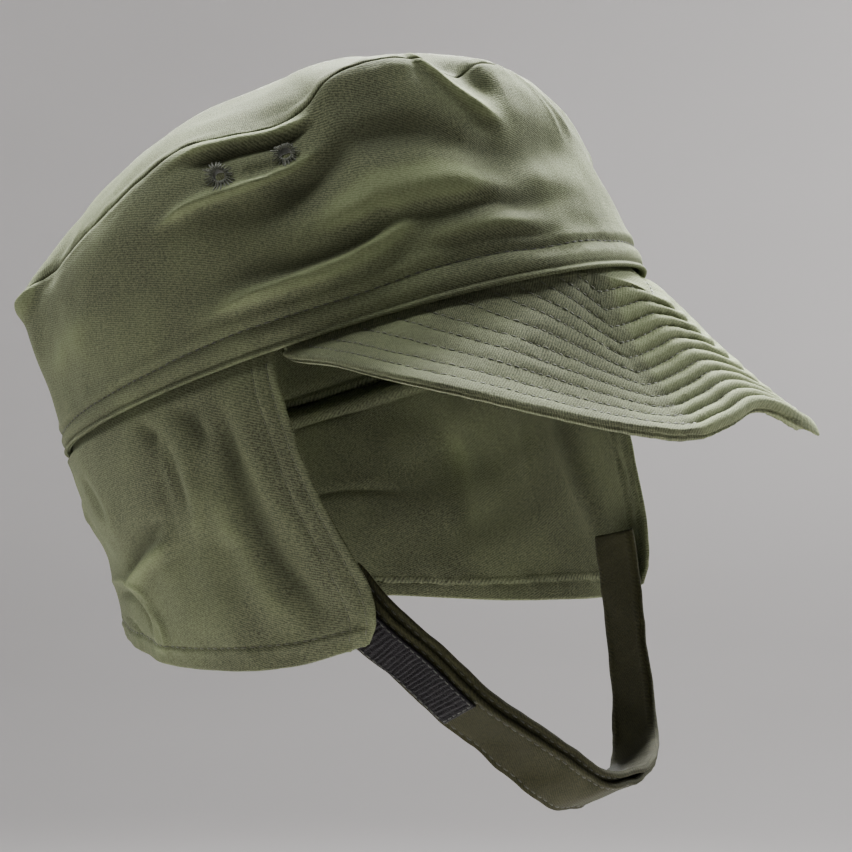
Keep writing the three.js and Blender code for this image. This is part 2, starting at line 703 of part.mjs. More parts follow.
function strapSheet(start, end, first, last, out, stations) {
  const frames = strapFrames();
  const grid = [];
  for (let j = 0; j <= STRAP_STRIPS; j++) {
    const across = first + ((last - first) * j) / STRAP_STRIPS;
    const row = [];
    for (let i = 0; i <= stations; i++) {
      const key = start + ((end - start) * i) / stations;
      row.push(strapPlace(frames, key, across, out));
    }
    grid.push(row);
  }
  return sheetFrom(grid.reverse());
}

function toManifold(geometry) {
  const bare = new THREE.BufferGeometry();
  bare.setAttribute("position", geometry.attributes.position);
  bare.setIndex(geometry.index);
  const merged = mergeVertices(bare, 1e-4);
  return new wasm.Manifold(
    new wasm.Mesh({
      numProp: 3,
      vertProperties: merged.attributes.position.array,
      triVerts: new Uint32Array(merged.index.array),
    }),
  );
}

function fromManifold(body) {
  const mesh = body.getMesh();
  const geometry = new THREE.BufferGeometry();
  geometry.setAttribute("position", new THREE.BufferAttribute(mesh.vertProperties, 3));
  geometry.setIndex(new THREE.BufferAttribute(mesh.triVerts, 1));
  return geometry;
}

// Turns and moves a shape made round the Y axis so that it looks out of the wall.
function setIntoWall(geometry, { angle, share }) {
  const nudge = 2;
  const step = 0.02;
  const centre = wallPoint(angle, share);
  const along = wallPoint(angle + nudge, share).sub(wallPoint(angle - nudge, share));
  const up = wallPoint(angle, share + step).sub(wallPoint(angle, share - step));
  const face = new THREE.Vector3().crossVectors(up, along).normalize();
  if (face.dot(outward(angle)) < 0) face.negate();
  const turn = new THREE.Quaternion().setFromUnitVectors(new THREE.Vector3(0, 1, 0), face);
  return geometry.applyQuaternion(turn).translate(centre.x, centre.y, centre.z);
}

function eyeletRing(eyelet) {
  const half = EYELET_THICKNESS / 2;
  const middle = -CLOTH / 2;
  const profile = [
    [EYELET_HOLE_R, middle - half],
    [EYELET_OUTER_R, middle - half],
    [EYELET_OUTER_R, middle + half],
    [EYELET_HOLE_R, middle + half],
    [EYELET_HOLE_R, middle - half],
  ].map(([radius, height]) => new THREE.Vector2(radius, height));
  return setIntoWall(new THREE.LatheGeometry(profile, EYELET_SIDES), eyelet);
}

function crownSide() {
  let body = toManifold(thicken(crownSideSheet(), 0, CLOTH));
  for (const eyelet of EYELETS) {
    const punch = new THREE.CylinderGeometry(
      EYELET_OUTER_R + GAP,
      EYELET_OUTER_R + GAP,
      6 * CLOTH,
      EYELET_SIDES,
    );
    body = body.subtract(toManifold(setIntoWall(punch, eyelet)));
  }
  return fromManifold(body);
}

const { whole: STRAP_LENGTH } = strapFrames();
const BAND_HALF = STRAP_CLOTH / 2;
const OUTER_BAND_FACE = GAP + BAND_HALF;

const rightBand = thicken(
  strapSheet(
    RIGHT_BAND_START,
    STRAP_LENGTH - RIGHT_BAND_SHORT,
    0,
    STRAP_WIDTH,
    OUTER_BAND_FACE,
    STRAP_STATIONS,
  ),
  BAND_HALF,
  BAND_HALF,
);
const leftBand = thicken(
  strapSheet(
    0,
    STRAP_LENGTH,
    -LOWER_BAND_RISE,
    STRAP_WIDTH - LOWER_BAND_RISE,
    -OUTER_BAND_FACE,
    STRAP_STATIONS,
  ),
  BAND_HALF,
  BAND_HALF,
);
const tapeFace = 2 * GAP + STRAP_CLOTH + TAPE_THICKNESS / 2;
const hookTape = thicken(
  strapSheet(
    TAPE_START,
    TAPE_END,
    TAPE_MARGIN,
    TAPE_MARGIN + TAPE_WIDTH,
    tapeFace,
    Math.round(STRAP_STATIONS / 4),
  ),
  TAPE_THICKNESS / 2,
  TAPE_THICKNESS / 2,
);

const CAP_CLOTH = { color: "#5d6247", roughness: 0.93, metalness: 0 };
const STRAP_TWILL = { color: "#3b3f2d", roughness: 0.93, metalness: 0 };
const HOOK_TAPE = { color: "#35323a", roughness: 0.85, metalness: 0 };
const EYELET_THREAD = { color: "#4c523a", roughness: 0.8, metalness: 0 };

const cap = new THREE.Group();
cap.name = "combat_cap";

function addPiece(name, geometry, finish) {
  const mesh = new THREE.Mesh(geometry, new THREE.MeshStandardMaterial(finish));
  mesh.name = name;
  cap.add(mesh);
}

addPiece("crown_side", crownSide(), CAP_CLOTH);
addPiece("crown_top", thicken(crownTopSheet(), 0, CLOTH), CAP_CLOTH);
addPiece("peak", ribbedPeak(), CAP_CLOTH);
addPiece("neck_flap", thicken(flapSheet(), 0, CLOTH), CAP_CLOTH);
addPiece("chin_strap_right", rightBand, STRAP_TWILL);
addPiece("chin_strap_left", leftBand, STRAP_TWILL);
addPiece("hook_tape", hookTape, HOOK_TAPE);
for (const eyelet of EYELETS) {
  addPiece(eyelet.name, eyeletRing(eyelet), EYELET_THREAD);
}

export default cap;
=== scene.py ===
import logging
import math
from collections.abc import Callable
from dataclasses import dataclass
from enum import Enum

import bpy
import numpy as np
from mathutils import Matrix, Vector


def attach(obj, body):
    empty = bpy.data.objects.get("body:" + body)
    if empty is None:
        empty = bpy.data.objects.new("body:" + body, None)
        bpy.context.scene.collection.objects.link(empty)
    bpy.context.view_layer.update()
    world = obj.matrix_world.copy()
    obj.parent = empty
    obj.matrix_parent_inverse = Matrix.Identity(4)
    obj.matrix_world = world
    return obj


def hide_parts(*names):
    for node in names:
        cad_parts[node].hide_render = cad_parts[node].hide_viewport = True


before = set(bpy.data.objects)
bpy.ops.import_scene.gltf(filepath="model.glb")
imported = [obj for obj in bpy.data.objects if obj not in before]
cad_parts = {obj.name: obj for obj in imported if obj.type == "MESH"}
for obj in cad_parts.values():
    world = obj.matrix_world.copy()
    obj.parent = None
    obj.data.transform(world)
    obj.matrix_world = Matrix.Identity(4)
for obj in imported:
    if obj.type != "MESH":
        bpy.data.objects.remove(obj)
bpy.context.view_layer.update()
LOG = logging.getLogger("combat_cap")
MM = 0.001
BODY = "root"
ROUND = 2 * math.pi
PLACE_COLUMNS = ("x", "forward", "up")


# Tables and cloth forms, in millimetres. Angles run round the head opening from the
# front over the wearer's right side, as in the part's source.


class Side(Enum):
    """A side of the wearer, by the name of its column in a table."""

    RIGHT = "right"
    LEFT = "left"


@dataclass(frozen=True)
class Table:
    """A short table of sections with named columns, the first of which is its key."""

    columns: tuple[str, ...]
    rows: tuple[tuple[float, ...], ...]
    turn: float = 0.0

    def column(self, name: str) -> np.ndarray:
        """Give all the values of one column."""
        return np.array([row[self.columns.index(name)] for row in self.rows], float)

    def line(self) -> np.ndarray:
        """Give the columns x, forward and up as the points of a line."""
        return np.stack([self.column(name) for name in PLACE_COLUMNS], axis=1)

    def place(self, at: np.ndarray, keys: np.ndarray | None = None) -> np.ndarray:
        """Read the columns x, forward and up as places in the row's frame.

        Args:
            at: the places in the key column.
            keys: other keys for the rows, as in read.

        Returns:
            The places, in mm.
        """
        x, forward, up = (self.read(name, at, keys) for name in PLACE_COLUMNS)
        return np.stack((x, -forward, up), axis=-1)

    def read(
        self, name: str, at: np.ndarray | float, keys: np.ndarray | None = None
    ) -> np.ndarray:
        """Read a smooth curve through one column.

        Args:
            name: the column to read.
            at: the places in the key column.
            keys: other keys for the rows, such as lengths along an edge.

        Returns:
            The value at each place.
        """
        key = self.column(self.columns[0]) if keys is None else keys
        value = self.column(name)
        place = np.asarray(at, float)
        if self.turn:
            place = key[0] + np.mod(place - key[0], self.turn)
            key = np.r_[key[-1] - self.turn, key, key[0] + self.turn, key[1] + self.turn]
            value = np.r_[value[-1], value, value[0], value[1]]
        else:
            key = np.r_[2 * key[0] - key[1], key, 2 * key[-1] - key[-2]]
            value = np.r_[2 * value[0] - value[1], value, 2 * value[-1] - value[-2]]
        i = np.clip(np.searchsorted(key, place, side="right") - 1, 1, len(key) - 3)
        span = key[i + 1] - key[i]
        u = (place - key[i]) / span
        start = (value[i + 1] - value[i - 1]) / (key[i + 1] - key[i - 1])
        end = (value[i + 2] - value[i]) / (key[i + 2] - key[i])
        u2, u3 = u * u, u * u * u
        return (
            (2 * u3 - 3 * u2 + 1) * value[i]
            + (u3 - 2 * u2 + u) * span * start
            + (3 * u2 - 2 * u3) * value[i + 1]
            + (u3 - u2) * span * end
        )


@dataclass(frozen=True)
class HeadOpening:
    """Size and tilt of the head opening, and the cloth's thickness."""

    half_length: float = 103.0
    half_width: float = 82.4
    tipped_back: float = math.radians(21.2)
    cloth: float = 1.6
    gap: float = 0.45
    rim_clearance: float = 0.6

    @property
    def inset(self) -> float:
        """How far inside the crown's face a piece sewn under it lies."""
        return self.cloth + self.gap


@dataclass(frozen=True)
class CrownSize:
    """Main sizes of the crown."""

    half_length: float = 95.0
    half_width: float = 81.0
    shift_back: float = 9.0
    height: float = 62.5
    rise_forward: float = 0.11
    dome: float = 25.0
    dome_power: float = 2.3
    wall: float = 64.0
    top: float = 88.0
    per_degree: float = 1.62
    fold_free: float = 0.1


OPENING = HeadOpening()
CROWN = CrownSize()

SEAM = Table(
    ("angle", "share", "lift"),
    (
        (0, 1, -1.7), (10, 0.995, -4), (21, 1, 3.5), (32, 1, 4.7), (38, 1, 3), (43, 1, -2),
        (50, 0.99, -4.2), (60, 1, -1.5), (70, 1, 1.8), (80, 1, 0.2), (90, 1, -2.2),
        (105, 0.99, -4.4), (116, 0.98, -4.8), (122, 1, -5.2), (128, 1.03, -6.4),
        (134, 1.005, -4.6), (141, 0.99, -2.2), (165, 1, -1), (185, 1, -1), (210, 1, 0),
        (240, 1, 1), (270, 1, 1.5), (300, 1, 1), (320, 1, 0), (340, 1, -2.5),
    ),
    360.0,
)

WALL_BOW = Table(
    ("angle", "bow"),
    (
        (0, -0.5), (40, 1), (90, 2), (120, 0), (150, -1), (200, -1), (240, 2), (290, 1.5),
        (320, 1), (342, 1),
    ),
    360.0,
)

FOLD_COLUMNS = ("a1", "s1", "a2", "s2", "a3", "s3", "lift", "width", "steep")
CREASE_COLUMNS = (*FOLD_COLUMNS[:-1], "sharp")

# Each fold runs from one place past a second to a third. steep narrows the side that
# lies below a fold running forward, which gives the pressed folds their hard foot.
# A crease is a finer fold, and sharp says how much of it comes to an edge.
CROWN_FOLDS = Table(
    FOLD_COLUMNS,
    (
        (76, 0.94, 56, 0.965, 42, 0.93, 2.6, 2.8, 0.5),
        (70, 0.88, 57, 0.925, 42, 0.9, -2.4, 2.4, 1),
        (80, 0.705, 59, 0.735, 41.5, 0.8, 2.3, 2.8, 0.45),
        (70, 0.62, 52, 0.66, 36, 0.76, -1.7, 5.5, 1),
        (80, 0.26, 53, 0.26, 31, 0.34, 3.2, 4, 0.5),
        (74, 0.4, 52, 0.35, 30, 0.45, -2.2, 4.5, 1),
        (60, 0.47, 36, 0.47, 12, 0.44, 2.2, 7, 0.8),
        (38, 0.38, 22, 0.365, -10, 0.34, -1.6, 3.6, 1),
        (38, 0.2, 23, 0.245, 6, 0.25, 1.4, 3.4, 0.8),
        (38, 0.2, 22, 0.16, 2, 0.16, -1.2, 2.8, 1), (40, 0.7, 29, 0.68, 16, 0.62, -1.8, 6, 1),
        (18, 1.1, 14, 0.93, 2, 0.66, 2.8, 3.8, 0.7), (8, 1.14, 5, 0.97, -1, 0.84, -3, 5, 1),
        (-12, 0.98, -16, 0.8, -20, 0.62, 0.8, 3, 0.6), (96, 0.6, 112, 0.5, 128, 0.46, 1, 6, 1),
        (120, 0.93, 128, 0.945, 136, 0.93, 4.2, 5, 0.8),
        (140, 0.7, 165, 0.6, 190, 0.66, -1.6, 6, 1),
        (150, 0.4, 175, 0.32, 205, 0.4, 1.4, 5, 1.3),
        (222, 0.74, 245, 0.66, 268, 0.72, -1.8, 5, 1),
        (235, 0.38, 262, 0.3, 288, 0.38, 1.8, 4.5, 1.4),
        (300, 0.5, 318, 0.46, 338, 0.5, -1.5, 5, 1),
        (292, 0.7, 303, 0.76, 316, 0.8, -1.4, 5, 1),
    ),
)

CROWN_CREASES = Table(
    CREASE_COLUMNS,
    (
        (78, 0.93, 54, 0.962, 42, 0.93, 1.2, 1.3, 0.6),
        (71, 0.89, 56, 0.932, 42, 0.9, -2.6, 1.1, 1),
        (83, 0.705, 59, 0.742, 42, 0.8, 2.8, 1.3, 1),
        (60, 0.79, 56, 0.8, 52, 0.82, -1.3, 2.2, 0.2),
        (56, 0.7, 48, 0.7, 38, 0.74, -1.5, 3.6, 0.3),
        (76, 0.235, 52, 0.292, 32, 0.325, 2.7, 1.3, 1),
        (66, 0.3, 50, 0.34, 35, 0.375, -1.4, 2, 0.6),
        (36, 0.372, 22, 0.345, -6, 0.33, -0.8, 2, 0.4),
        (40, 0.44, 30, 0.4, 16, 0.4, 1.1, 1.6, 0.6),
        (36, 0.24, 22, 0.262, 4, 0.25, 0.6, 2, 0.5),
        (35, 0.215, 22, 0.205, 0, 0.185, -0.7, 1.4, 0.5),
        (41, 0.185, 28, 0.182, 8, 0.165, 0.5, 1.2, 0.6),
        (19, 1.02, 12.5, 0.875, 4, 0.71, 0.7, 1.5, 0.9),
        (26, 0.6, 4, 0.56, -22, 0.6, -2.2, 6, 0),
        (-13, 0.97, -13.2, 0.8, -15, 0.57, 0.5, 1.3, 0.8),
        (44, 0.74, 34, 0.7, 16, 0.64, -2, 4.5, 0.2),
        (50, 0.52, 33, 0.46, 8, 0.42, 2.3, 4.5, 0.3),
        (40, 0.9, 34, 0.86, 24, 0.83, -0.9, 4.5, 0),
        (160, 0.86, 190, 0.8, 214, 0.86, -0.9, 2.4, 0.5),
        (228, 0.86, 250, 0.8, 276, 0.88, 0.9, 2, 0.7),
        (292, 0.62, 312, 0.56, 330, 0.62, 0.9, 2, 0.7),
        (240, 0.3, 262, 0.24, 290, 0.3, 1, 1.6, 0.8),
    ),
)

PEAK_EDGE = Table(
    ("x", "forward", "up"),
    (
        (-77, 36, 13), (-87, 66.7, 12.3), (-90.5, 85, 11.5), (-90, 99, 10.4), (-86, 109.2, 9),
        (-79, 115.5, 6.9), (-60, 121.5, 1.9), (-30, 127.5, -4.9), (0, 132.9, -9.2),
        (22, 132.8, -6.6), (38, 131, -3.5), (54, 129, -6.5), (73, 126.2, -13.6),
        (82.6, 118.1, -14.8), (87.9, 102.2, -10.8), (90.5, 85, -4), (87, 62, 5), (77, 36, 13),
    ),
)

# Where each of the peak's rows ends on the rim, by its share of the way in to the rim.
PEAK_ROWS = Table(
    ("share", "right", "left"),
    (
        (0, 66.2, 66.2), (0.05, 62.8, 65.3), (0.125, 59.4, 63.6), (0.21, 54.3, 61.7),
        (0.29, 47.6, 59.5), (0.375, 42, 55.5), (0.46, 36, 51), (0.54, 28.5, 46),
        (0.625, 22.5, 42.5), (0.71, 17, 38.5), (0.79, 12, 35), (0.875, 7, 30), (0.96, 2.2, 15),
        (1, 0, 0),
    ),
)

FLAP_HEM = Table(
    ("angle", "x", "forward", "up"),
    (
        (67, -65, 66, -69), (72, -68.5, 59, -72), (80, -73.5, 45, -77), (95, -77, 24, -81),
        (112, -73, -3, -84), (130, -63, -30, -84.5), (148, -46, -55, -84.5),
        (165, -24, -68, -84), (180, 0, -71, -84),
    ),
)

FLAP_FRONT = Table(
    ("share", "x", "forward", "up"),
    (
        (0, -75.8, 37.5, 14.6), (0.17, -77, 44.6, -1.3), (0.3, -76, 49.5, -12.5),
        (0.45, -74.5, 55.4, -25.2), (0.61, -72, 62.3, -37.9), (0.73, -69, 67.3, -47.9),
        (0.84, -66.5, 69.5, -56.8), (0.92, -65.5, 69, -63), (1, -65, 66, -69),
    ),
)

FLAP_BOW = Table(
    ("angle", "bow"),
    (
        (67, 1.5), (100, 2), (125, -1), (150, -1.5), (180, -1.5),
    ),
)

FLAP_FOLDS = Table(
    FOLD_COLUMNS,
    (
        (80, 0.02, 78, 0.5, 75, 0.92, -2.4, 3.2, 1), (75, 0.1, 75, 0.4, 72, 0.7, 1, 3, 1),
        (85, 0.3, 84, 0.55, 80, 0.9, 1.2, 4, 1), (97, 0.03, 93, 0.25, 94, 0.46, -1.8, 3.2, 1),
        (90, 0.12, 90, 0.35, 93, 0.55, 1.1, 3.2, 1), (85, 0.02, 85, 0.12, 85, 0.24, -1.5, 3, 1),
        (129, 0.72, 110, 0.56, 96, 0.49, 1.7, 3, 1.3),
        (126, 0.64, 110, 0.47, 97, 0.42, -1.8, 2.8, 1),
        (86, 0.48, 88, 0.62, 91, 0.76, -1.1, 5, 1), (129, 0.7, 117, 0.78, 121, 0.98, 1.5, 3, 1),
        (128, 0.12, 124, 0.25, 119, 0.38, -1.2, 3.2, 1),
        (158, 0.1, 162, 0.5, 157, 0.9, -1.6, 5, 1), (185, 0.2, 190, 0.5, 184, 0.85, 1.3, 5, 1),
        (214, 0.1, 208, 0.5, 212, 0.9, -1.6, 5, 1),
        (246, 0.05, 250, 0.45, 244, 0.9, 1.4, 4.5, 1),
        (274, 0.05, 276, 0.5, 281, 0.9, -1.8, 4, 1),
    ),
)

FLAP_CREASES = Table(
    CREASE_COLUMNS,
    (
        (77, 0.03, 80.3, 0.42, 75, 0.86, -2.2, 2.2, 0.5),
        (76.5, 0.46, 76.6, 0.6, 74, 0.76, 0.9, 1.8, 0.5),
        (98, 0.02, 97, 0.08, 95, 0.16, -1.5, 2.2, 0.3),
        (89, 0.02, 87, 0.1, 82.5, 0.21, -1.6, 2.2, 0.3),
        (130, 0.7, 112, 0.575, 98, 0.49, 1.2, 1, 1),
        (128, 0.64, 112, 0.52, 99, 0.455, -1.5, 2, 0.4),
        (99, 0.49, 90, 0.442, 79, 0.39, 0.4, 0.9, 1),
        (93.5, 0.07, 94.3, 0.25, 93, 0.46, 1, 1.7, 0.5),
        (96, 0.2, 97, 0.35, 98, 0.5, -0.9, 2.2, 0.2),
        (150, 0.72, 124, 0.65, 115.5, 0.78, 1.6, 1.6, 0.7),
        (116, 0.76, 113.5, 0.86, 117, 0.96, 1.4, 1.5, 0.7),
        (146, 0.78, 124, 0.73, 120, 0.94, -1.3, 2, 0.4),
        (141, 0.85, 131, 0.87, 128, 0.96, -0.8, 1, 0.7),
        (150, 0.2, 143, 0.3, 138, 0.42, 0.8, 2, 0.5),
        (176, 0.3, 184, 0.45, 180, 0.7, 0.9, 1.8, 0.7),
        (205, 0.5, 222, 0.42, 240, 0.5, 0.8, 2.2, 0.4),
        (262, 0.1, 265, 0.3, 262, 0.6, -1, 2, 0.5),
    ),
)

STRAP = Table(
    ("x", "forward", "up", "lean"),
    (
        (-67, 60.5, -47, 36), (-60.5, 70, -60, 42), (-51, 79.5, -72, 50),
        (-40.5, 88, -85.3, 56), (-28, 95, -95.5, 54), (-13, 100.3, -107, 52),
        (-4, 101.5, -113.2, 55), (5, 101.4, -115.8, 59), (15, 100, -116.8, 63),
        (26, 96.5, -117, 66), (37, 91, -116.5, 64), (46, 84.5, -113, 55), (54, 77, -102, 45),
        (59, 70, -85, 36), (61.5, 65, -68, 32), (63, 61, -52, 30),
    ),
)

# A fold's curve is cut in so many pieces and reaches so many widths, its ends taper off
# from a low start, and the softness rounds the edge of a crease.
FOLD_PIECES = 32
FOLD_REACH = 4
TAPER_START = 0.04
TAPER_RATE = 3.2
EDGE_SOFTNESS = 0.13
RIPPLE_WAVES = 16


def unit(vectors: np.ndarray) -> np.ndarray:
    """Give vectors a length of one."""
    return vectors / np.maximum(np.linalg.norm(vectors, axis=-1, keepdims=True), 1e-9)


def smooth_step(value: np.ndarray | float) -> np.ndarray:
    """Ease from 0 to 1 as value goes from 0 to 1."""
    t = np.clip(value, 0, 1)
    return t * t * (3 - 2 * t)


def ridge(distance: np.ndarray, width: float) -> np.ndarray:
    """Give a soft ridge, 1 at no distance and falling off over the width."""
    return np.exp(-((distance / width) ** 2))


def circle(count: int) -> np.ndarray:
    """Give angles in equal steps all round."""
    return np.linspace(0, ROUND, count, endpoint=False)


def nearest(values: np.ndarray, wanted: float) -> int:
    """Give the number of the value that comes nearest to one that is wanted."""
    return int(np.abs(values - wanted).argmin())


def ripples(points: np.ndarray, wave: float, seed: int) -> np.ndarray:
    """Give a smooth random waviness.

    Args:
        points: the places, in mm.
        wave: the waves' length, in mm.
        seed: picks the pattern.

    Returns:
        A height at each place, mostly between -1 and 1.
    """
    picks = np.random.default_rng(seed)
    total = np.zeros(points.shape[:-1])
    for _ in range(RIPPLE_WAVES):
        way = unit(picks.normal(size=3)) * ROUND / (wave * picks.uniform(0.7, 1.6))
        total += np.sin(points @ way + picks.uniform(0, ROUND))
    return total / (1.3 * math.sqrt(RIPPLE_WAVES))


@dataclass(frozen=True)
class Line:
    """A raised line along the cloth, or a sunken one where its height is below zero.

    A sharp one comes to an edge, as a row of stitches does.
    """

    at: float
    width: float
    height: float
    sharp: bool = False

    def read(self, distance: np.ndarray) -> np.ndarray:
        """Give its height.

        Args:
            distance: how far each place lies from where the line is measured from, in mm.

        Returns:
            The height at each place, in mm.
        """
        away = distance - self.at
        form = np.exp(-np.abs(away) / self.width) if self.sharp else ridge(away, self.width)
        return self.height * form


@dataclass(frozen=True)
class Rumple:
    """Soft waviness of the cloth in a few sizes, each a wave length, a height and a seed."""

    waves: tuple[tuple[float, float, int], ...]

    def read(self, points: np.ndarray) -> np.ndarray:
        """Give its height at some places, in mm."""
        return sum(ripples(points, wave, seed) * height for wave, height, seed in self.waves)


def wall_mm(share: np.ndarray | float) -> np.ndarray:
    """Turn a share of the wall's height into mm, on past the seam over the top panel."""
    return CROWN.wall * np.minimum(share, 1) + CROWN.top * np.maximum(np.subtract(share, 1), 0)


def fold_relief(
    folds: Table,
    angle: np.ndarray,
    share: np.ndarray,
    per_degree: float,
    to_mm: Callable[[np.ndarray | float], np.ndarray],
) -> np.ndarray:
    """Add up the heights of all the folds in a table.

    Args:
        folds: the table of folds.
        angle: the angle of each place.
        share: the share of the cloth's height at each place.
        per_degree: mm of cloth for a degree.
        to_mm: turns a share of the height into mm of cloth.

    Returns:
        The height at each place, in mm.
    """
    steps = np.linspace(0, 1, FOLD_PIECES + 1)
    weights = np.stack(((1 - steps) ** 2, 2 * steps * (1 - steps), steps**2), axis=1)
    total = np.zeros(angle.shape)
    creased = "sharp" in folds.columns
    for a1, s1, a2, s2, a3, s3, lift, width, shape in folds.rows:
        near = a2 + np.mod(angle - a2 + 180, 360) - 180
        ends = np.array([[a1 * per_degree, to_mm(s1)], [a3 * per_degree, to_mm(s3)]])
        pull = 2 * np.array([a2 * per_degree, to_mm(s2)]) - ends.mean(0)
        line = weights @ np.array([ends[0], pull, ends[1]])
        reach = FOLD_REACH * width
        place = np.stack((near * per_degree, to_mm(share)), axis=-1)
        close = np.all(
            (place > line.min(0) - reach) & (place < line.max(0) + reach), axis=-1
        )
        if not close.any():
            continue
        away = place[close][:, None, :] - line[None, :, :]
        closest = np.linalg.norm(away, axis=-1).argmin(1)
        run = np.gradient(line, axis=0)[closest]
        off = away[np.arange(len(away)), closest]
        pace = np.linalg.norm(run, axis=1)
        slip = np.sum(off * run, axis=1) / pace
        inner = (closest > 0) & (closest < FOLD_PIECES)
        distance = np.sqrt(np.maximum(np.sum(off**2, axis=1) - inner * slip**2, 0))
        below = run[:, 0] * off[:, 1] - run[:, 1] * off[:, 0]
        side = smooth_step(0.5 + below / (pace * width))
        wide = width if creased else width * (1 + (shape - 1) * side)
        across = distance / wide
        edge = np.exp(EDGE_SOFTNESS - np.sqrt(across**2 + EDGE_SOFTNESS**2))
        form = np.exp(-(across**2))
        form = form + shape * (edge - form) if creased else form
        along = steps[closest] + inner * slip / pace * steps[1]
        taper = smooth_step(np.minimum(along, 1 - along) * TAPER_RATE + TAPER_START)
        total[close] += lift * form * taper
    return total


def tipped(x: np.ndarray, forward: np.ndarray, up: np.ndarray) -> np.ndarray:
    """Place a point measured from the head opening's plane, as the cap sits tipped back.

    Args:
        x: mm to the wearer's left.
        forward: mm to the front, along the plane.
        up: mm above the plane.

    Returns:
        The place in the row's frame, in mm.
    """
    tip = OPENING.tipped_back
    x, forward, up = np.broadcast_arrays(*(np.asarray(v, float) for v in (x, forward, up)))
    level = -forward * math.cos(tip) + up * math.sin(tip)
    return np.stack((x, level, forward * math.sin(tip) + up * math.cos(tip)), axis=-1)


CAP_UP = tipped(0, 0, 1)


def outward(angle: np.ndarray) -> np.ndarray:
    """Give the level direction out of the head opening's oval.

    Args:
        angle: the angle of each place.

    Returns:
        A unit vector for each.
    """
    t = np.radians(angle)
    flat = (-np.sin(t) / OPENING.half_width, np.cos(t) / OPENING.half_length, 0 * t)
    flat = unit(np.stack(flat, axis=-1))
    return tipped(flat[..., 0], flat[..., 1], flat[..., 2])


def rim_point(angle: np.ndarray, inset: float = 0.0, up: float = 0.0) -> np.ndarray:
    """Give a place on the rim, or inside it and above its plane.

    Args:
        angle: the angle of each place.
        inset: mm inside the rim.
        up: mm above its plane.

    Returns:
        The places, in mm.
    """
    t = np.radians(angle)
    flat = tipped(-OPENING.half_width * np.sin(t), OPENING.half_length * np.cos(t), up)
    return flat - outward(angle) * inset


def seam_point(angle: np.ndarray, plain: bool = False) -> np.ndarray:
    """Give a place on the crown's top seam.

    Args:
        angle: the angle of each place.
        plain: whether it lies on the plain oval that the seam strays from.

    Returns:
        The places, in mm.
    """
    t = np.radians(angle)
    share, lift = (1.0, 0.0) if plain else (SEAM.read(c, angle) for c in ("share", "lift"))
    forward = CROWN.half_length * np.cos(t) * share
    return tipped(
        -CROWN.half_width * np.sin(t) * share,
        forward - CROWN.shift_back,
        CROWN.height + CROWN.rise_forward * forward + lift,
    )


def fold_shift(angle: np.ndarray, share: np.ndarray) -> tuple[np.ndarray, np.ndarray]:
    """Work out how the crown's folds move its cloth.

    Args:
        angle: the angle of each place.
        share: the share of the wall's height, above 1 on the top panel.

    Returns:
        The movement of each place and the folds' height there, in mm.
    """
    height = sum(
        fold_relief(folds, angle, share, CROWN.per_degree, wall_mm)
        for folds in (CROWN_FOLDS, CROWN_CREASES)
    )
    height = height * smooth_step((share - 0.02) / CROWN.fold_free)
    turn = smooth_step((share - 0.75) / 0.5)[..., None]
    way = outward(angle) * (1 - turn) + CAP_UP * turn
    return way * height[..., None], height


def wall_point(angle: np.ndarray, share: np.ndarray) -> tuple[np.ndarray, np.ndarray]:
    """Give places on the crown's side wall.

    Args:
        angle: the angle of each place.
        share: the share of the wall's height.

    Returns:
        The places and the folds' height there, in mm.
    """
    angle, share = np.broadcast_arrays(np.asarray(angle, float), np.asarray(share, float))
    bow = WALL_BOW.read("bow", angle) * 4 * share * (1 - share)
    shift, height = fold_shift(angle, share)
    level = share[..., None]
    base = rim_point(angle) * (1 - level) + seam_point(angle) * level
    return base + outward(angle) * bow[..., None] + shift, height


def top_point(angle: np.ndarray, ring: np.ndarray) -> tuple[np.ndarray, np.ndarray]:
    """Give places on the crown's top panel.

    Args:
        angle: the angle of each place.
        ring: the share of the way from the panel's middle to the seam.

    Returns:
        The places and the folds' height there, in mm.
    """
    plain = seam_point(angle, plain=True)
    centre = tipped(0, -CROWN.shift_back, CROWN.height)
    edge = (seam_point(angle) - plain) * (ring**4)[..., None]
    dome = CROWN.dome * (1 - ring**CROWN.dome_power)
    shift, height = fold_shift(angle, 2 - ring)
    fade = smooth_step(ring * 1.6 - 0.3)
    level = ring[..., None]
    base = centre * (1 - level) + plain * level + CAP_UP * dome[..., None]
    return base + edge + shift * fade[..., None], height * fade


def tuck_point(angle: np.ndarray, height: float) -> np.ndarray:
    """Give a place on the inside of the band, for a piece sewn in under it."""
    place, _ = wall_point(angle, np.full(np.shape(angle), height / CROWN.wall))
    return place - outward(angle) * OPENING.inset


# Meshes


def grid_normals(points: np.ndarray, joined: bool = False) -> np.ndarray:
    """Give the normals of a grid of points.

    Args:
        points: rows and columns of places.
        joined: whether the last column is followed by the first.

    Returns:
        A unit normal for each place.
    """
    ring = np.concatenate((points, points[:, :1]), axis=1) if joined else points
    face = np.cross(ring[1:, 1:] - ring[:-1, :-1], ring[1:, :-1] - ring[:-1, 1:])
    total = np.zeros_like(ring)
    for corner in (total[:-1, :-1], total[:-1, 1:], total[1:, 1:], total[1:, :-1]):
        corner += face
    if joined:
        total[:, 0] += total[:, -1]
        total = total[:, :-1]
    return unit(total)


def tube_faces(rings: int, sides: int, closed: bool = False) -> np.ndarray:
    """Give the squares of a tube made of rings of places.

    Args:
        rings: how many rings it has.
        sides: how many places are in a ring.
        closed: whether the last ring is followed by the first.

    Returns:
        The four corners of each square.
    """
    i, j = np.meshgrid(np.arange(rings - 1 + closed), np.arange(sides), indexing="ij")
    here, ahead, after = i * sides, (i + 1) % rings * sides, (j + 1) % sides
    return np.stack((here + j, here + after, ahead + after, ahead + j), axis=-1).reshape(-1, 4)


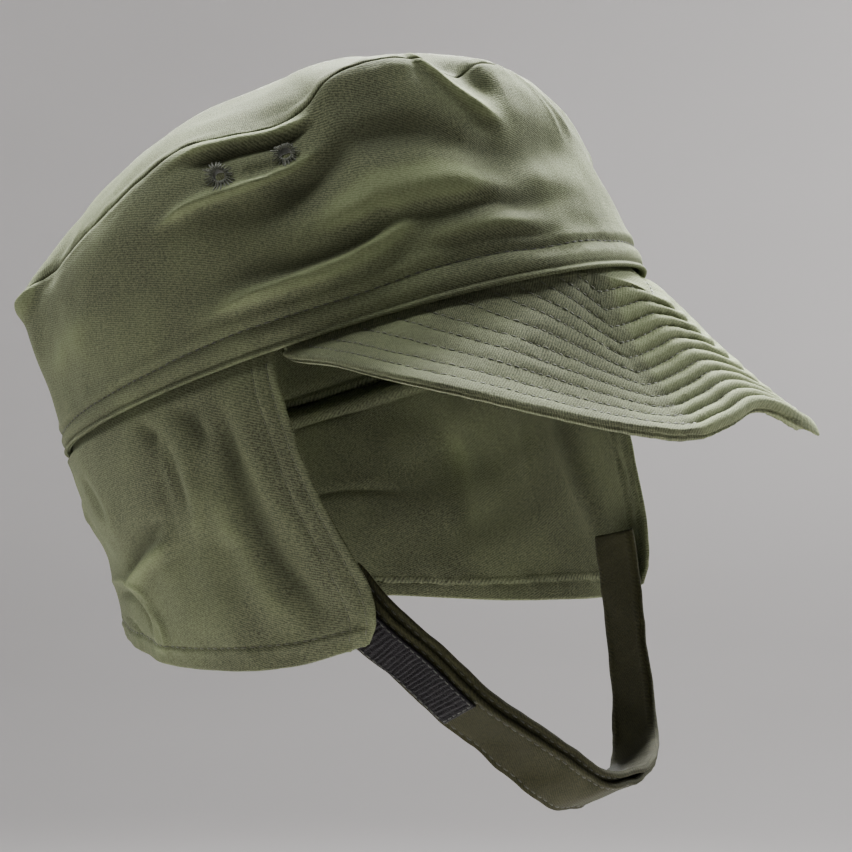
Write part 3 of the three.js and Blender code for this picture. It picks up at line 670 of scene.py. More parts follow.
def place_object(name: str, data: bpy.types.ID | None) -> bpy.types.Object:
    """Put a mesh, a lamp or a camera in the scene.

    Args:
        name: the name of the object.
        data: what it shows.

    Returns:
        The new object.
    """
    made = bpy.data.objects.new(name, data)
    bpy.context.collection.objects.link(made)
    return made


def settle(made: bpy.types.Object) -> None:
    """Merge a mesh's doubles, clear its empty faces and turn its faces outward.

    Args:
        made: the object, which is left active and alone selected.
    """
    bpy.ops.object.select_all(action="DESELECT")
    bpy.context.view_layer.objects.active = made
    made.select_set(True)
    bpy.ops.object.mode_set(mode="EDIT")
    bpy.ops.mesh.select_all(action="SELECT")
    bpy.ops.mesh.remove_doubles(threshold=1e-6)
    bpy.ops.mesh.dissolve_degenerate(threshold=1e-7)
    bpy.ops.mesh.select_all(action="SELECT")
    bpy.ops.mesh.normals_make_consistent(inside=False)
    bpy.ops.object.mode_set(mode="OBJECT")


def mesh_object(
    name: str,
    verts: np.ndarray,
    faces: np.ndarray,
    uvs: np.ndarray | None = None,
    wear_and_painted_light: np.ndarray | None = None,
) -> bpy.types.Object:
    """Make an object of a mesh, with doubles merged and smooth faces.

    Args:
        name: the name of the object.
        verts: places, in mm.
        faces: the corners of each face.
        uvs: the place on the cloth of each corner, in mm.
        wear_and_painted_light: how far each place stands proud; the finish paints raised places
            paler, partly as worn cloth and partly as painted highlight, and sunken places darker as
            painted shade.

    Returns:
        The new object, in the scene.
    """
    mesh = bpy.data.meshes.new(name)
    mesh.from_pydata((verts * MM).tolist(), [], faces.tolist())
    if uvs is not None:
        layer = mesh.uv_layers.new(name="cloth")
        layer.data.foreach_set("uv", np.ascontiguousarray(uvs, np.float32).ravel())
    if wear_and_painted_light is not None:
        layer = mesh.attributes.new("wear_and_painted_light", "FLOAT", "POINT")
        layer.data.foreach_set("value", np.ascontiguousarray(wear_and_painted_light, np.float32))
    made = place_object(name, mesh)
    settle(made)
    bpy.ops.object.shade_smooth()
    made.select_set(False)
    return made


def take_length(points: np.ndarray) -> np.ndarray:
    """Give the length along a line at each of its points."""
    return np.r_[0, np.cumsum(np.linalg.norm(np.diff(points, axis=0), axis=1))]


def along_line(
    points: np.ndarray, at: np.ndarray, values: np.ndarray | None = None
) -> np.ndarray:
    """Give what a line holds at some lengths along it.

    Args:
        points: the line's points.
        at: the lengths.
        values: a vector for each point, or None for the places themselves.

    Returns:
        A vector for each length.
    """
    lengths = take_length(points)
    values = points if values is None else values
    return np.stack([np.interp(at, lengths, values[:, k]) for k in range(3)], axis=1)


def spaced(
    width: float, edge: tuple[float, ...], first: float, last: float, step: float
) -> np.ndarray:
    """Give steps over a width, close together at both of its edges.

    Args:
        width: the width, in mm.
        edge: the steps at an edge.
        first: where the even steps start.
        last: how far from the other edge they stop.
        step: how far apart they are.

    Returns:
        The steps, in mm.
    """
    close = np.array(edge)
    return np.r_[close, np.arange(first, width - last, step), width - close[::-1]]


@dataclass
class Run:
    """A line of stitches: the line and the way out of the cloth along it."""

    points: np.ndarray
    normals: np.ndarray


@dataclass
class Cloth:
    """A sheet of cloth: the places of its outer face, and what shapes and dresses it."""

    outer: np.ndarray
    uv: np.ndarray
    edge: np.ndarray
    wear_and_painted_light: np.ndarray
    thickness: float = 1.6
    joined: bool = False
    wrap: float = 0.0
    facing: np.ndarray | None = None
    roll: float | None = None

    def normals(self) -> np.ndarray:
        """Give the outer face's normals, or the ones given instead."""
        return grid_normals(self.outer, self.joined) if self.facing is None else self.facing

    def runs(
        self, rows: list[int], margin: int, lift: float = 0.0, down: bool = False
    ) -> list[Run]:
        """Give lines of stitches along some rows of the cloth.

        Args:
            rows: the rows' numbers.
            margin: how many places are left free at each end.
            lift: how far they lie above the cloth, in mm.
            down: whether they run down columns instead.

        Returns:
            The lines.
        """
        place, out = self.outer, self.normals()
        if down:
            place, out = place.swapaxes(0, 1), out.swapaxes(0, 1)
        part = slice(margin, -margin)
        return [Run(place[i, part] + out[i, part] * lift, out[i, part]) for i in rows]

    def build(self, name: str) -> bpy.types.Object:
        """Make the closed mesh, with its edges rolled round.

        Args:
            name: the name of the object.

        Returns:
            The new object, in the scene.
        """
        rows, wide = self.outer.shape[:2]
        normal = self.normals()
        half = self.thickness / 2
        near = np.clip(self.edge / (self.roll or half), 0, 1)
        stand = half * np.sqrt(np.clip(1 - (1 - near) ** 2, 0, 1))[..., None]
        middle = self.outer - normal * half
        count = rows * wide
        index = np.arange(count).reshape(rows, wide)
        under = np.where(self.edge <= 0, index, index + count)
        faces = (middle + normal * stand, middle - normal * stand)
        uv = self.uv
        if self.joined:
            index = np.concatenate((index, index[:, :1]), axis=1)
            under = np.concatenate((under, under[:, :1]), axis=1)
            uv = np.concatenate((uv, uv[:, :1] + np.array([self.wrap, 0.0])), axis=1)

        def corners(grid: np.ndarray) -> np.ndarray:
            """List the corners of each square of a grid."""
            around = (grid[:-1, :-1], grid[:-1, 1:], grid[1:, 1:], grid[1:, :-1])
            return np.stack([g.reshape(-1, *g.shape[2:]) for g in around], axis=1)

        return mesh_object(
            name,
            np.concatenate([face.reshape(-1, 3) for face in faces]),
            np.concatenate((corners(index), corners(under)[:, ::-1])),
            np.concatenate((corners(uv), corners(uv)[:, ::-1])),
            np.tile(self.wear_and_painted_light.reshape(-1), 2),
        )


@dataclass
class Stitching:
    """Lockstitch in one thread, laid along lines on the cloth.

    A stitch has six sections, each with its place along it, its width and its height.
    """

    length: float = 2.3
    gap: float = 0.7
    radius: float = 0.24
    sides: int = 6
    sections: tuple[tuple[float, float, float], ...] = (
        (-0.5, 0.15, -0.9), (-0.4, 0.75, -0.1), (-0.15, 1, 0.35),
        (0.15, 1, 0.35), (0.4, 0.75, -0.1), (0.5, 0.15, -0.9),
    )

    def grain(self) -> np.ndarray:
        """Give the places of one stitch along X, with Z out of the cloth.

        Returns:
            The places, in mm.
        """
        return np.array(
            [
                (x * self.length, y * r * self.radius, (z * r + lift) * self.radius)
                for x, r, lift in self.sections
                for y, z in ((math.cos(t), math.sin(t)) for t in circle(self.sides))
            ]
        )

    def sew(self, name: str, runs: list[Run]) -> bpy.types.Object:
        """Lay stitches along some lines and join them in one mesh.

        Args:
            name: the name of the object.
            runs: the lines.

        Returns:
            The new object.
        """
        grain, faces = self.grain(), tube_faces(len(self.sections), self.sides)
        pitch = self.length + self.gap
        verts, squares, count = [], [], 0
        for run in runs:
            centres = np.arange(pitch / 2, take_length(run.points)[-1] - pitch / 3, pitch)
            if not len(centres):
                continue
            behind, place, ahead = (
                along_line(run.points, centres + self.length / 2 * part) for part in (-1, 0, 1)
            )
            out = along_line(run.points, centres, run.normals)
            way = unit(ahead - behind)
            out = unit(out - way * np.sum(out * way, axis=1, keepdims=True))
            ways = np.stack((way, np.cross(out, way), out), axis=1)
            laid = place[:, None, :] + grain @ ways
            verts.append(laid.reshape(-1, 3))
            starts = count + np.arange(len(centres)) * len(grain)
            squares.append((faces[None] + starts[:, None, None]).reshape(-1, 4))
            count += len(centres) * len(grain)
        return mesh_object(name, np.concatenate(verts), np.concatenate(squares))


# Finishes


def linear(hex_colour: str) -> tuple[float, float, float, float]:
    """Turn an sRGB hex colour into linear values."""
    values = [int(hex_colour[i : i + 2], 16) / 255 for i in (1, 3, 5)]
    return (*(v / 12.92 if v <= 0.04045 else ((v + 0.055) / 1.055) ** 2.4 for v in values), 1.0)


def add_node(
    tree: bpy.types.NodeTree,
    kind: str,
    inputs: dict | None = None,
    out: int | str = 0,
    **settings: object,
) -> bpy.types.NodeSocket | None:
    """Add a node with its settings, values and links.

    Args:
        tree: the material's nodes.
        kind: the node's type, without the word ShaderNode.
        inputs: a value or an output to link, by the input's name or number.
        out: the output to give, by its name or number.
        settings: the node's own properties.

    Returns:
        That output, or None where the node has none.
    """
    made = tree.nodes.new("ShaderNode" + kind)
    for name, value in settings.items():
        setattr(made, name, value)
    for name, value in (inputs or {}).items():
        if isinstance(value, bpy.types.NodeSocket):
            tree.links.new(value, made.inputs[name])
        else:
            made.inputs[name].default_value = value
    return made.outputs[out] if made.outputs else None


@dataclass(frozen=True)
class Finish:
    """A procedural material, named for what the real one is."""

    name: str

    def surface(self, tree: bpy.types.NodeTree) -> dict[str, object]:
        """Add the nodes of its pattern, and give what the shader reads."""
        raise NotImplementedError

    def make(self) -> bpy.types.Material:
        """Make the material.

        Returns:
            The material, with its nodes in place.
        """
        made = bpy.data.materials.new(self.name)
        made.use_nodes = True
        made.node_tree.nodes.clear()
        shader = add_node(made.node_tree, "BsdfPrincipled", self.surface(made.node_tree))
        add_node(made.node_tree, "OutputMaterial", {"Surface": shader})
        return made


@dataclass(frozen=True)
class CottonTwill(Finish):
    """Washed cotton twill, woven in fine diagonal ribs and napped by wear.

    It scatters light softly, and its ribs give a fine slanting grain. Raised folds are
    painted pale, partly as worn cloth and partly as painted highlight, and hollows are
    painted dark as painted shade. Real ribs are 0.6 mm apart; they are drawn at rib_mm so
    that they still show from a metre away.
    """

    name: str = "washed_cotton_twill"
    yarn: str = "#5d614a"
    shade: str = "#313326"
    faded_and_highlight: str = "#8b976a"
    rib_mm: float = 0.66
    yarn_mm: tuple[float, float] = (0.42, 1.1)
    slant: float = 62.0
    nap: float = 0.24
    roughness: float = 0.92

    def surface(self, tree: bpy.types.NodeTree) -> dict[str, object]:
        """Weave the ribs and yarns, lay on nap, wear, painted highlight and painted shade, and give
        what the shader reads.

        Args:
            tree: the material's nodes.

        Returns:
            The shader's inputs, by their names.
        """
        place = add_node(tree, "UVMap", out="UV", uv_map="cloth")
        turn = (0, 0, math.radians(self.slant))
        turned = add_node(tree, "Mapping", {"Vector": place, "Rotation": turn})
        bands = {"Scale": math.pi / (10 * self.rib_mm), "Distortion": 1.6, "Detail": 2.0}
        ribs = add_node(
            tree,
            "TexWave",
            {"Vector": turned, "Detail Scale": 1.4, **bands},
            out="Fac",
            wave_type="BANDS",
            bands_direction="X",
        )
        thin, long = self.yarn_mm
        drawn = add_node(tree, "Mapping", {"Vector": turned, "Scale": (1 / thin, 1 / long, 1)})
        solid = add_node(tree, "TexCoord", out="Object")
        yarns, patches, nap = (
            add_node(
                tree,
                "TexNoise",
                {"Vector": where, "Scale": scale, "Detail": detail, "Roughness": rough},
                out="Fac",
            )
            for where, scale, detail, rough in (
                (drawn, 1.0, 3.0, 0.65),
                (solid, 24.0, 5.0, 0.6),
                (solid, 1900.0, 2.0, 0.75),
            )
        )
        woven = add_node(tree, "Mix", {0: 0.8, 2: ribs, 3: yarns})
        grain = add_node(tree, "Mix", {0: 0.45, 2: woven, 3: nap})
        wear_and_light = add_node(tree, "Attribute", out="Fac", attribute_name="wear_and_painted_light")
        lit, patchy, proud, painted_shade_mask = (
            add_node(
                tree,
                "MapRange",
                {"Value": value, "From Min": low, "From Max": high},
                interpolation_type="SMOOTHSTEP",
            )
            for value, low, high in (
                (grain, 0.38, 0.62),
                (patches, 0.35, 0.75),
                (wear_and_light, 0.1, 2.6),
                (wear_and_light, -0.1, -3.2),
            )
        )
        # Painted light and shade: the relief value pales raised places, partly as worn cloth and
        # partly as painted highlight, and darkens sunken places towards the shade colour as painted
        # shade; fade adds the cloth's own random fading.
        fade = add_node(tree, "Math", {0: patchy, 1: 0.14}, operation="MULTIPLY")
        rubbed_and_highlight = add_node(tree, "Math", {0: proud, 1: 0.2, 2: fade}, operation="MULTIPLY_ADD")
        hollow = add_node(tree, "Math", {0: painted_shade_mask, 1: 0.4}, operation="MULTIPLY")
        relief = {"Height": grain, "Strength": 0.8, "Distance": 0.0005}
        colour = linear(self.shade)
        # Mix the weave's grain, then the pale fading with painted highlight, then the painted shade
        # in the hollows.
        for share, paint in ((lit, self.yarn), (rubbed_and_highlight, self.faded_and_highlight), (hollow, self.shade)):
            mixed = {0: share, 6: colour, 7: linear(paint)}
            colour = add_node(tree, "Mix", mixed, out=2, data_type="RGBA")
        return {
            "Base Color": colour,
            "Normal": add_node(tree, "Bump", relief),
            "Roughness": self.roughness,
            "IOR": 1.45,
            "Specular IOR Level": 0.2,
            "Sheen Weight": self.nap,
            "Sheen Roughness": 0.45,
            "Sheen Tint": linear(self.faded_and_highlight),
        }


@dataclass(frozen=True)
class SewingThread(Finish):
    """Spun polyester sewing thread, softly glossy and darkened between its fibres."""

    name: str = "sewing_thread"
    fibre: str = "#50543c"
    shade: str = "#2c2f22"
    roughness: float = 0.7

    def surface(self, tree: bpy.types.NodeTree) -> dict[str, object]:
        """Mottle the twisted fibres, and give what the shader reads.

        Args:
            tree: the material's nodes.

        Returns:
            The shader's inputs, by their names.
        """
        solid = add_node(tree, "TexCoord", out="Object")
        fine = {"Vector": solid, "Scale": 1600.0, "Detail": 2.0}
        twist = add_node(tree, "TexNoise", fine, out="Fac")
        mixed = {0: twist, 6: linear(self.shade), 7: linear(self.fibre)}
        colour = add_node(tree, "Mix", mixed, out=2, data_type="RGBA")
        return {"Base Color": colour, "Roughness": self.roughness, "IOR": 1.5, "Sheen Weight": 0.2}


@dataclass(frozen=True)
class NylonHook(Finish):
    """Hook side of woven nylon tape: stiff dark bristles that stay dull."""

    name: str = "nylon_hook_tape"
    bristle: str = "#1a1719"
    shaded_ground: str = "#0a090a"
    roughness: float = 0.62

    def surface(self, tree: bpy.types.NodeTree) -> dict[str, object]:
        """Set the hooks, paint the ground between ribs darker as painted shade, and give what the
        shader reads.

        Args:
            tree: the material's nodes.

        Returns:
            The shader's inputs, by their names.
        """
        place = add_node(tree, "UVMap", out="UV", uv_map="cloth")
        bed = {"Vector": place, "Scale": 1.7, "Randomness": 0.7}
        hooks = add_node(tree, "TexVoronoi", bed, out="Distance")
        wear_and_light = add_node(tree, "Attribute", out="Fac", attribute_name="wear_and_painted_light")
        # Low places between ribs take the darker ground colour as painted shade in the grooves,
        # over the hooks' own spotted pattern.
        share = add_node(tree, "Math", {0: wear_and_light, 1: hooks}, operation="SUBTRACT")
        share = add_node(tree, "MapRange", {"Value": share, "From Min": -0.5, "From Max": 0.6})
        mixed = {0: share, 6: linear(self.shaded_ground), 7: linear(self.bristle)}
        relief = {"Height": hooks, "Strength": 0.6, "Distance": 0.0005}
        return {
            "Base Color": add_node(tree, "Mix", mixed, out=2, data_type="RGBA"),
            "Normal": add_node(tree, "Bump", relief),
            "Roughness": self.roughness,
            "IOR": 1.53,
            "Specular IOR Level": 0.08,
        }


@dataclass(frozen=True)
class BackdropPaper(Finish):
    """Matt paper backdrop, faintly uneven."""

    name: str = "backdrop_paper"
    pulp: str = "#c0bdbc"
    pale: str = "#c8c5c4"

    def surface(self, tree: bpy.types.NodeTree) -> dict[str, object]:
        """Cloud the paper, and give what the shader reads.

        Args:
            tree: the material's nodes.

        Returns:
            The shader's inputs, by their names.
        """
        solid = add_node(tree, "TexCoord", out="Object")
        broad = {"Vector": solid, "Scale": 3.0, "Detail": 3.0}
        fibre = add_node(tree, "TexNoise", broad, out="Fac")
        mixed = {0: fibre, 6: linear(self.pulp), 7: linear(self.pale)}
        colour = add_node(tree, "Mix", mixed, out=2, data_type="RGBA")
        return {"Base Color": colour, "Roughness": 1.0, "Specular IOR Level": 0.0}


@dataclass
class Finishes:
    """Every material of the cap, made once."""

    cloth: bpy.types.Material
    strap: bpy.types.Material
    thread: bpy.types.Material
    dark_thread: bpy.types.Material
    eyelet_thread: bpy.types.Material
    hook: bpy.types.Material


def dress(piece: bpy.types.Object, material: bpy.types.Material, slot: str, *nodes: str) -> None:
    """Give a piece its material and its body, and hide the solids that it stands for.

    Args:
        piece: the piece.
        material: its material.
        slot: the row's material slot that it shows; not used.
        nodes: the solids that it stands for.
    """
    piece.data.materials.clear()
    piece.data.materials.append(material)
    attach(piece, BODY)
    if nodes:
        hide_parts(*nodes)
    LOG.info("%s: %d faces", piece.name, len(piece.data.polygons))


# Sub-assemblies


@dataclass
class Eyelet:
    """A buttonhole-stitched vent in the crown's side wall."""

    name: str
    angle: float
    share: float
    seed: int
    reach: float
    hole: float = 1.75
    cut: float = 2.5
    spokes: int = 24
    thread: float = 0.3
    stray: float = 0.22
    uneven: tuple[float, float] = (-0.9, 0.5)
    ring: tuple[tuple[float, float], ...] = (
        (0, 0.1), (0.15, 0.42), (0.5, 0.55), (0.9, 0.35), (1.1, 0),
        (1.1, -1.5), (0.9, -2), (0.5, -2.2), (0.1, -1.9), (0, -1.4),
    )

    def on_wall(self, local: np.ndarray) -> np.ndarray:
        """Lay a shape made round the Z axis on the wall, following its folds.

        Args:
            local: places with X round the cap, Y up the wall and Z out of it, in mm.

        Returns:
            The places in the row's frame, in mm.
        """
        angle = self.angle - local[:, 0] / CROWN.per_degree
        share = self.share + local[:, 1] / CROWN.wall
        base, _ = wall_point(angle, share)
        round_way, _ = wall_point(angle - 0.5, share)
        up_way, _ = wall_point(angle, share + 0.008)
        out = unit(np.cross(round_way - base, up_way - base))
        facing = np.sum(out * outward(angle), axis=1, keepdims=True)
        return base + out * np.sign(facing) * local[:, 2:3]

    def rings(self, profile: tuple[tuple[float, float], ...], count: int) -> np.ndarray:
        """Lay rings on the wall.

        Args:
            profile: the radius and the height of each ring, in mm.
            count: how many places are in a ring.

        Returns:
            The places in the row's frame, in mm.
        """
        turn = circle(count)
        return self.on_wall(
            np.array([(r * math.cos(t), r * math.sin(t), z) for r, z in profile for t in turn])
        )

    def punch(self, wall: bpy.types.Object, sides: int = 28, deep: float = 5.0) -> None:
        """Cut the vent through the wall.

        Args:
            wall: the crown's side wall.
            sides: how many sides the hole has.
            deep: how far the punch reaches to each side of the wall, in mm.
        """
        mesh = bpy.data.meshes.new("punch")
        verts = self.rings(((self.cut, -deep), (self.cut, deep)), sides)
        caps = [list(range(sides))[::-1], list(range(sides, 2 * sides))]
        mesh.from_pydata((verts * MM).tolist(), [], tube_faces(2, sides).tolist() + caps)
        punch = place_object("punch", mesh)
        settle(punch)
        cut = wall.modifiers.new("vent", "BOOLEAN")
        cut.operation = "DIFFERENCE"
        cut.solver = "MANIFOLD"
        cut.object = punch
        bpy.context.view_layer.objects.active = wall
        bpy.ops.object.modifier_apply(modifier=cut.name)
        bpy.data.objects.remove(punch)
        bpy.data.meshes.remove(mesh)

    def build(self, finishes: Finishes) -> list[bpy.types.Object]:
        """Make the bound ring and its radiating stitches.

        Args:
            finishes: the cap's materials.

        Returns:
            The ring and the stitches.
        """
        sides = 36
        profile = tuple((self.hole + out, up) for out, up in self.ring)
        faces = tube_faces(len(profile), sides, closed=True)
        ring = mesh_object(self.name + "_bound", self.rings(profile, sides), faces)
        picks = np.random.default_rng(self.seed)
        up = np.array([0, 0, 1.0])
        runs = []
        for i in range(self.spokes):
            t = ROUND * (i + picks.uniform(-self.stray, self.stray)) / self.spokes
            radii = np.linspace(self.hole - 0.1, self.reach + picks.uniform(*self.uneven), 9)
            lift = 0.15 + 0.45 * np.sin(np.clip((radii - self.hole) / 1.6, 0, 1) * math.pi)
            places = np.array([math.cos(t), math.sin(t), 0]) * radii[:, None] + up * lift[:, None]
            here = self.on_wall(places)
            runs.append(Run(here, unit(self.on_wall(places + up) - here)))
        spokes = self.bars(runs)
        dress(ring, finishes.dark_thread, "eyelet_thread", self.name)
        dress(spokes, finishes.eyelet_thread, "eyelet_thread")
        return [ring, spokes]

    def bars(self, runs: list[Run], sides: int = 6) -> bpy.types.Object:
        """Make the radiating stitches as tapered threads in one mesh.

        Args:
            runs: the line of each stitch.
            sides: how many sides a thread has.

        Returns:
            The stitches.
        """
        turn = circle(sides)[:, None]
        verts, faces, count = [], [], 0
        for run in runs:
            side = np.cross(run.normals, unit(np.gradient(run.points, axis=0)))
            share = np.linspace(0, 1, len(run.points))
            radius = self.thread * np.sqrt(np.clip(1.02 - share**4, 0.02, 1))
            radius[0] *= 0.3
            ways = np.cos(turn) * side[:, None] + np.sin(turn) * run.normals[:, None]
            verts.append((run.points[:, None] + radius[:, None, None] * ways).reshape(-1, 3))
            faces.append(tube_faces(len(share), sides) + count)
            count += len(share) * sides
        return mesh_object(self.name + "_stitches", np.concatenate(verts), np.concatenate(faces))


EYELETS = (
    Eyelet("eyelet_right_rear", 63, 0.82, 3, 4.9),
    Eyelet("eyelet_right_front", 50, 0.85, 4, 4.3),
    Eyelet("eyelet_left_front", 310, 0.85, 5, 4.3),
    Eyelet("eyelet_left_rear", 297, 0.82, 6, 4.9),
)


@dataclass
class Crown:
    """The side wall with its band, the top panel and the seam between them.

    The lines lie at a height above the rim, or at a distance from the band's stitching or
    from the top seam; those of the pinches lie at an angle and say how much more or less
    the cloth turns in at the seam there.
    """

    fine_step: float = 0.55
    plain_step: float = 1.25
    folded_side: tuple[float, float] = (315, 495)
    stitch_height: float = 7.6
    stitch_sway: float = 0.8
    rim_roll: Line = Line(0.9, 0.8, 0.55)
    rim_groove: Line = Line(2.1, 0.4, -0.7, sharp=True)
    band_swell: Line = Line(5.0, 2.0, 0.5)
    stitch_groove: Line = Line(0.0, 0.8, -0.8, sharp=True)
    stitch_swell: Line = Line(2.4, 1.6, 0.45)
    stitch_pucker: Line = Line(0.0, 3.5, 0.14)
    seam_groove: Line = Line(0.0, 0.45, -0.4, sharp=True)
    seam_shoulder: Line = Line(2.6, 1.8, 0.3)
    seam_pucker: Line = Line(2.0, 4.0, 0.2)
    nub_pinch: Line = Line(128.0, 7.0, -0.6)
    lip_pinch: Line = Line(54.0, 13.0, 0.45)
    front_angle: float = 30.0
    front_inset: float = 0.45
    seam_inset: float = 7.2
    wall_reach: float = 17.0
    top_reach: float = 48.0
    wall_rumple: Rumple = Rumple(((26.0, 0.32, 12), (11.0, 0.16, 13)))
    top_rumple: Rumple = Rumple(((30.0, 0.5, 21), (12.0, 0.15, 22)))
    allowance: float = 4.0
    allowance_drop: float = 2.0

    def angles(self) -> np.ndarray:
        """Give the columns' angles from the back round, close together on the folded side.

        Returns:
            The angles, in degrees.
        """
        stops = (180, *self.folded_side, 540)
        steps = (self.plain_step, self.fine_step, self.plain_step)
        return np.concatenate([np.arange(*span) for span in zip(stops[:-1], stops[1:], steps)])

    def wall_heights(self) -> np.ndarray:
        """Give the rows' heights above the rim, close together at seam and band.

        Returns:
            The heights, in mm.
        """
        tucked = self.allowance * np.array([0.1, 0.2, 0.35, 0.6, 0.85, 0.95, 1])
        band = (0, 0.08, 0.25, 0.5, *np.arange(0.8, 10.6, 0.42))
        seam = (*np.arange(58, 63.2, 0.5), 63.45, 63.7, 63.88, 64)
        return np.r_[band, np.arange(10.9, 57.6, 0.86), seam, CROWN.wall + tucked]

    def stitch_line(self, angle: np.ndarray) -> np.ndarray:
        """Give the height of the band's stitching, which runs a little lower at the back."""
        return self.stitch_height + self.stitch_sway * np.cos(np.radians(angle - 40))

    def turn_in(self, distance: np.ndarray, angle: np.ndarray, reach: float) -> np.ndarray:
        """Give how the cloth turns in at the top seam, at a distance from it.

        Args:
            distance: mm from the seam.
            angle: the angle of each place.
            reach: how far from the seam the cloth starts to turn in, in mm.

        Returns:
            The movement of each place, in mm.
        """
        dive = self.seam_groove.read(distance)
        from_front = np.abs((angle - self.front_angle + 180) % 360 - 180)
        spread = smooth_step((from_front - 20) / 45)
        pinched = 1 + self.nub_pinch.read(angle % 360)
        pinched = pinched * (self.front_inset + (1 - self.front_inset) * spread)
        pinched = pinched + self.lip_pinch.read(angle % 360)
        lean = -self.seam_inset * pinched * np.clip(1 - distance / reach, 0, 1) ** 2
        return (outward(angle) + CAP_UP) * dive[..., None] + outward(angle) * lean[..., None]

    def shape_wall(self) -> Cloth:
        """Shape the side wall, whose rows run down so that its faces look outward.

        Returns:
            The wall's cloth.
        """
        whole, angle = np.meshgrid(self.wall_heights(), self.angles(), indexing="ij")
        height = np.minimum(whole, CROWN.wall)
        turned_in = whole - height
        to_seam = CROWN.wall - height
        base, folds = wall_point(angle, height / CROWN.wall)
        above_stitch = height - self.stitch_line(angle)
        band = (
            self.rim_roll.read(height)
            + self.rim_groove.read(height)
            + self.band_swell.read(height)
            + self.stitch_groove.read(above_stitch)
            + self.stitch_swell.read(above_stitch)
        )
        soft = self.wall_rumple.read(base) * smooth_step(height / 14) * smooth_step(to_seam / 4)
        shoulder = self.seam_shoulder.read(to_seam)
        pucker = ripples(base, 4.0, 11) * self.stitch_pucker.read(above_stitch)
        pucker += ripples(base, 7.0, 14) * self.seam_pucker.read(to_seam)
        relief = band + pucker + soft + shoulder - turned_in
        outer = base + outward(angle) * relief[..., None]
        outer = outer + self.turn_in(to_seam, angle, self.wall_reach)
        outer = outer - CAP_UP * (self.allowance_drop * smooth_step(turned_in))[..., None]
        length = (angle - 180) * CROWN.per_degree
        return Cloth(
            outer=outer[::-1],
            uv=np.stack((length, whole), axis=-1)[::-1],
            edge=np.minimum(whole, CROWN.wall + self.allowance - whole)[::-1],
            # Painted light and shade: raised folds, band ridges and the seam's shoulder are painted
            # paler, partly as worn cloth and partly as painted highlight; fold hollows and band
            # grooves are painted darker as painted shade.
            wear_and_painted_light=(folds + band * 1.3 + soft + shoulder)[::-1],
            thickness=OPENING.cloth,
            joined=True,
            wrap=360 * CROWN.per_degree,
        )

    def shape_top(self) -> Cloth:
        """Shape the top panel.

        Returns:
            The panel's cloth.
        """
        seam = (0, 0.12, 0.3, 0.55, 0.9, *np.arange(1.3, 7, 0.55))
        inside = np.r_[seam, np.arange(7.4, 86, 1.9), CROWN.top]
        ring, angle = np.meshgrid(1 - inside / CROWN.top, self.angles(), indexing="ij")
        to_seam = (1 - ring) * CROWN.top
        base, folds = top_point(angle, ring)
        soft = self.top_rumple.read(base) * smooth_step(ring * 1.6 - 0.1) * smooth_step(to_seam / 5)
        shoulder = self.seam_shoulder.read(to_seam)
        pucker = ripples(base, 7.0, 23) * self.seam_pucker.read(to_seam)
        outer = base + CAP_UP * (soft + shoulder + pucker)[..., None]
        outer = outer + self.turn_in(to_seam, angle, self.top_reach)
        return Cloth(
            outer=outer[::-1],
            uv=base[::-1, :, :2],
            edge=np.where(ring > 0.001, to_seam, CROWN.top)[::-1],
            # Painted light and shade: raised folds and the seam's shoulder are painted paler,
            # partly as worn cloth and partly as painted highlight; hollows are painted darker as
            # painted shade.
            wear_and_painted_light=(folds + shoulder + soft)[::-1],
            thickness=OPENING.cloth,
            joined=True,
        )

    def build(self, finishes: Finishes) -> None:
        """Make, cut, stitch and dress the crown.

        Args:
            finishes: the cap's materials.
        """
        cloth = self.shape_wall()
        wall = cloth.build("crown_wall")
        for eyelet in EYELETS:
            eyelet.punch(wall)
        dress(wall, finishes.cloth, "cap_cloth", "crown_side")
        top = self.shape_top().build("crown_panel")
        dress(top, finishes.cloth, "cap_cloth", "crown_top")
        heights = self.wall_heights()[::-1]
        rows = np.abs(heights[:, None] - self.stitch_line(self.angles())[None]).argmin(0)
        columns = np.r_[np.arange(len(rows)), 0]
        place, out = (grid[rows[columns], columns] for grid in (cloth.outer, cloth.normals()))
        sewn = Stitching(length=2.2, gap=0.9, radius=0.2)
        band = sewn.sew("band_stitching", [Run(place + out * 0.05, out)])
        dress(band, finishes.dark_thread, "cap_cloth")
        trims = [band]
        for eyelet in EYELETS:
            trims += eyelet.build(finishes)


# The way in which the peak's right half is pressed hollow.
PRESSED_WAY = np.array((0.75, 0.65, -0.14))


